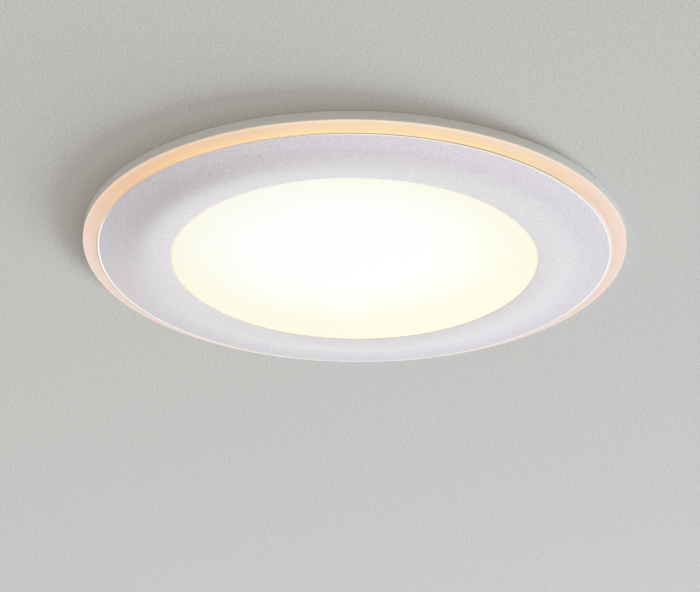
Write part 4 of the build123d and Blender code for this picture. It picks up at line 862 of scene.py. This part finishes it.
# A dim doorway to the far left, which only the satin trim shows, as a darker patch, and a
# brighter wall on the far side.
door_direction, wall_direction = (-0.260, 0.755, -0.602), (0, 0.998, -0.06)
towards = add_node(tree, "TexCoord")
near_door = add_node(tree, "VectorMath", {
    0: towards.outputs["Generated"], 1: door_direction}, operation="DOT_PRODUCT")
doorway = add_node(tree, "MapRange", {
    "Value": near_door.outputs["Value"], "From Min": 0.966, "From Max": 0.992},
    interpolation_type="SMOOTHSTEP")
in_reflection = add_node(tree, "Math", {
    0: doorway.outputs["Result"], 1: rays.outputs["Is Glossy Ray"]}, operation="MULTIPLY")
backdrop_tone = add_node(tree, "Mix", {
    "Factor": in_reflection.outputs["Value"], "A": linear("#F0F0EE"), "B": linear("#4A4848")},
    data_type="RGBA")
near_wall = add_node(tree, "VectorMath", {
    0: towards.outputs["Generated"], 1: wall_direction}, operation="DOT_PRODUCT")
wall_glow = add_node(tree, "MapRange", {
    "Value": near_wall.outputs["Value"], "From Min": 0.86, "From Max": 0.99, "To Min": 1.0,
    "To Max": 1.12}, interpolation_type="SMOOTHSTEP")
room_light = add_node(tree, "Background", {"Color": linear("#FFF8EE"), "Strength": 0.57})
backdrop = add_node(tree, "Background", {
    "Color": backdrop_tone.outputs["Result"], "Strength": wall_glow.outputs["Result"]})
surroundings = add_node(tree, "MixShader", {
    0: seen_too.outputs["Value"], 1: room_light.outputs["Background"],
    2: backdrop.outputs["Background"]})
add_node(tree, "OutputWorld", {"Surface": surroundings.outputs["Shader"]})


def area_lamp(name, position, aim, width, height, power, colour="#FFFFFF"):
    """A soft rectangular light that faces a point, in metres and watts."""
    data = bpy.data.lights.new(name, "AREA")
    data.shape, data.size, data.size_y = "RECTANGLE", width, height
    data.energy, data.color = power, linear(colour)[:3]
    lamp = bpy.data.objects.new(name, data)
    lamp.location = position
    lamp.rotation_euler = (Vector(aim) - Vector(position)).to_track_quat("-Z", "Y").to_euler()
    bpy.context.scene.collection.objects.link(lamp)
    return lamp


lamp_middle, back_middle, daylight = (0, 0, 0), (0, 0, 0.03), "#EDF8FF"
window = area_lamp(
    "window", (1.737, 2.391, -0.505), lamp_middle, width=1.05, height=0.68, power=184, colour=daylight)
window_foot = area_lamp(
    "window_foot", (1.558, 2.144, -1.41), lamp_middle, width=1.0, height=1.05, power=17,
    colour=daylight)
window_side = bpy.data.collections.new("lit_by_the_window")
window_side.objects.link(ceiling)
for pane in (window, window_foot):
    pane.light_linking.receiver_collection = window_side
soft_box = area_lamp(
    "soft_box", (1.38, 1.12, -1.77), lamp_middle, width=1.4, height=1.4, power=39, colour="#E4F3FF")
soft_box.visible_glossy = False
lamp_side = bpy.data.collections.new("not_lit_by_the_soft_box")
lamp_side.objects.link(ceiling)
soft_box.light_linking.receiver_collection = lamp_side
lamp_side.collection_objects[0].light_linking.link_state = "EXCLUDE"
# Two lamps light the space above the ceiling.
area_lamp("void_key", (-0.9, -1.2, 1.5), back_middle, width=0.9, height=0.9, power=26)
area_lamp("void_fill", (1.1, 0.7, 1.6), back_middle, width=1.6, height=1.6, power=15)

# Camera: below the ceiling on the cable's side, looking up at the lit face through a long
# lens, a metre from it, turned a little so that the lamp sits high in the picture.
view_down, aim_down, aim_left, roll = (
    math.radians(a) for a in (26.4548, 25.5529, -0.0686, 0.6126))
camera_distance, above_origin = 1.0, 0.6 * MM
aim = Vector((math.sin(aim_left) * math.cos(aim_down), math.cos(aim_left) * math.cos(aim_down),
              math.sin(aim_down)))
camera_data = bpy.data.cameras.new("camera")
camera_data.sensor_width, camera_data.lens = 36.0, 192.04
camera_data.clip_start, camera_data.clip_end = 0.05, 50.0
camera = bpy.data.objects.new("camera", camera_data)
camera.location = (0, -camera_distance * math.cos(view_down),
                   above_origin - camera_distance * math.sin(view_down))
camera.rotation_mode = "QUATERNION"
camera_roll = Matrix.Rotation(roll, 3, "Z").to_quaternion()
camera.rotation_quaternion = aim.to_track_quat("-Z", "Y") @ camera_roll
bpy.context.scene.collection.objects.link(camera)
bpy.context.scene.camera = camera
bpy.context.scene.view_settings.view_transform = "Standard"
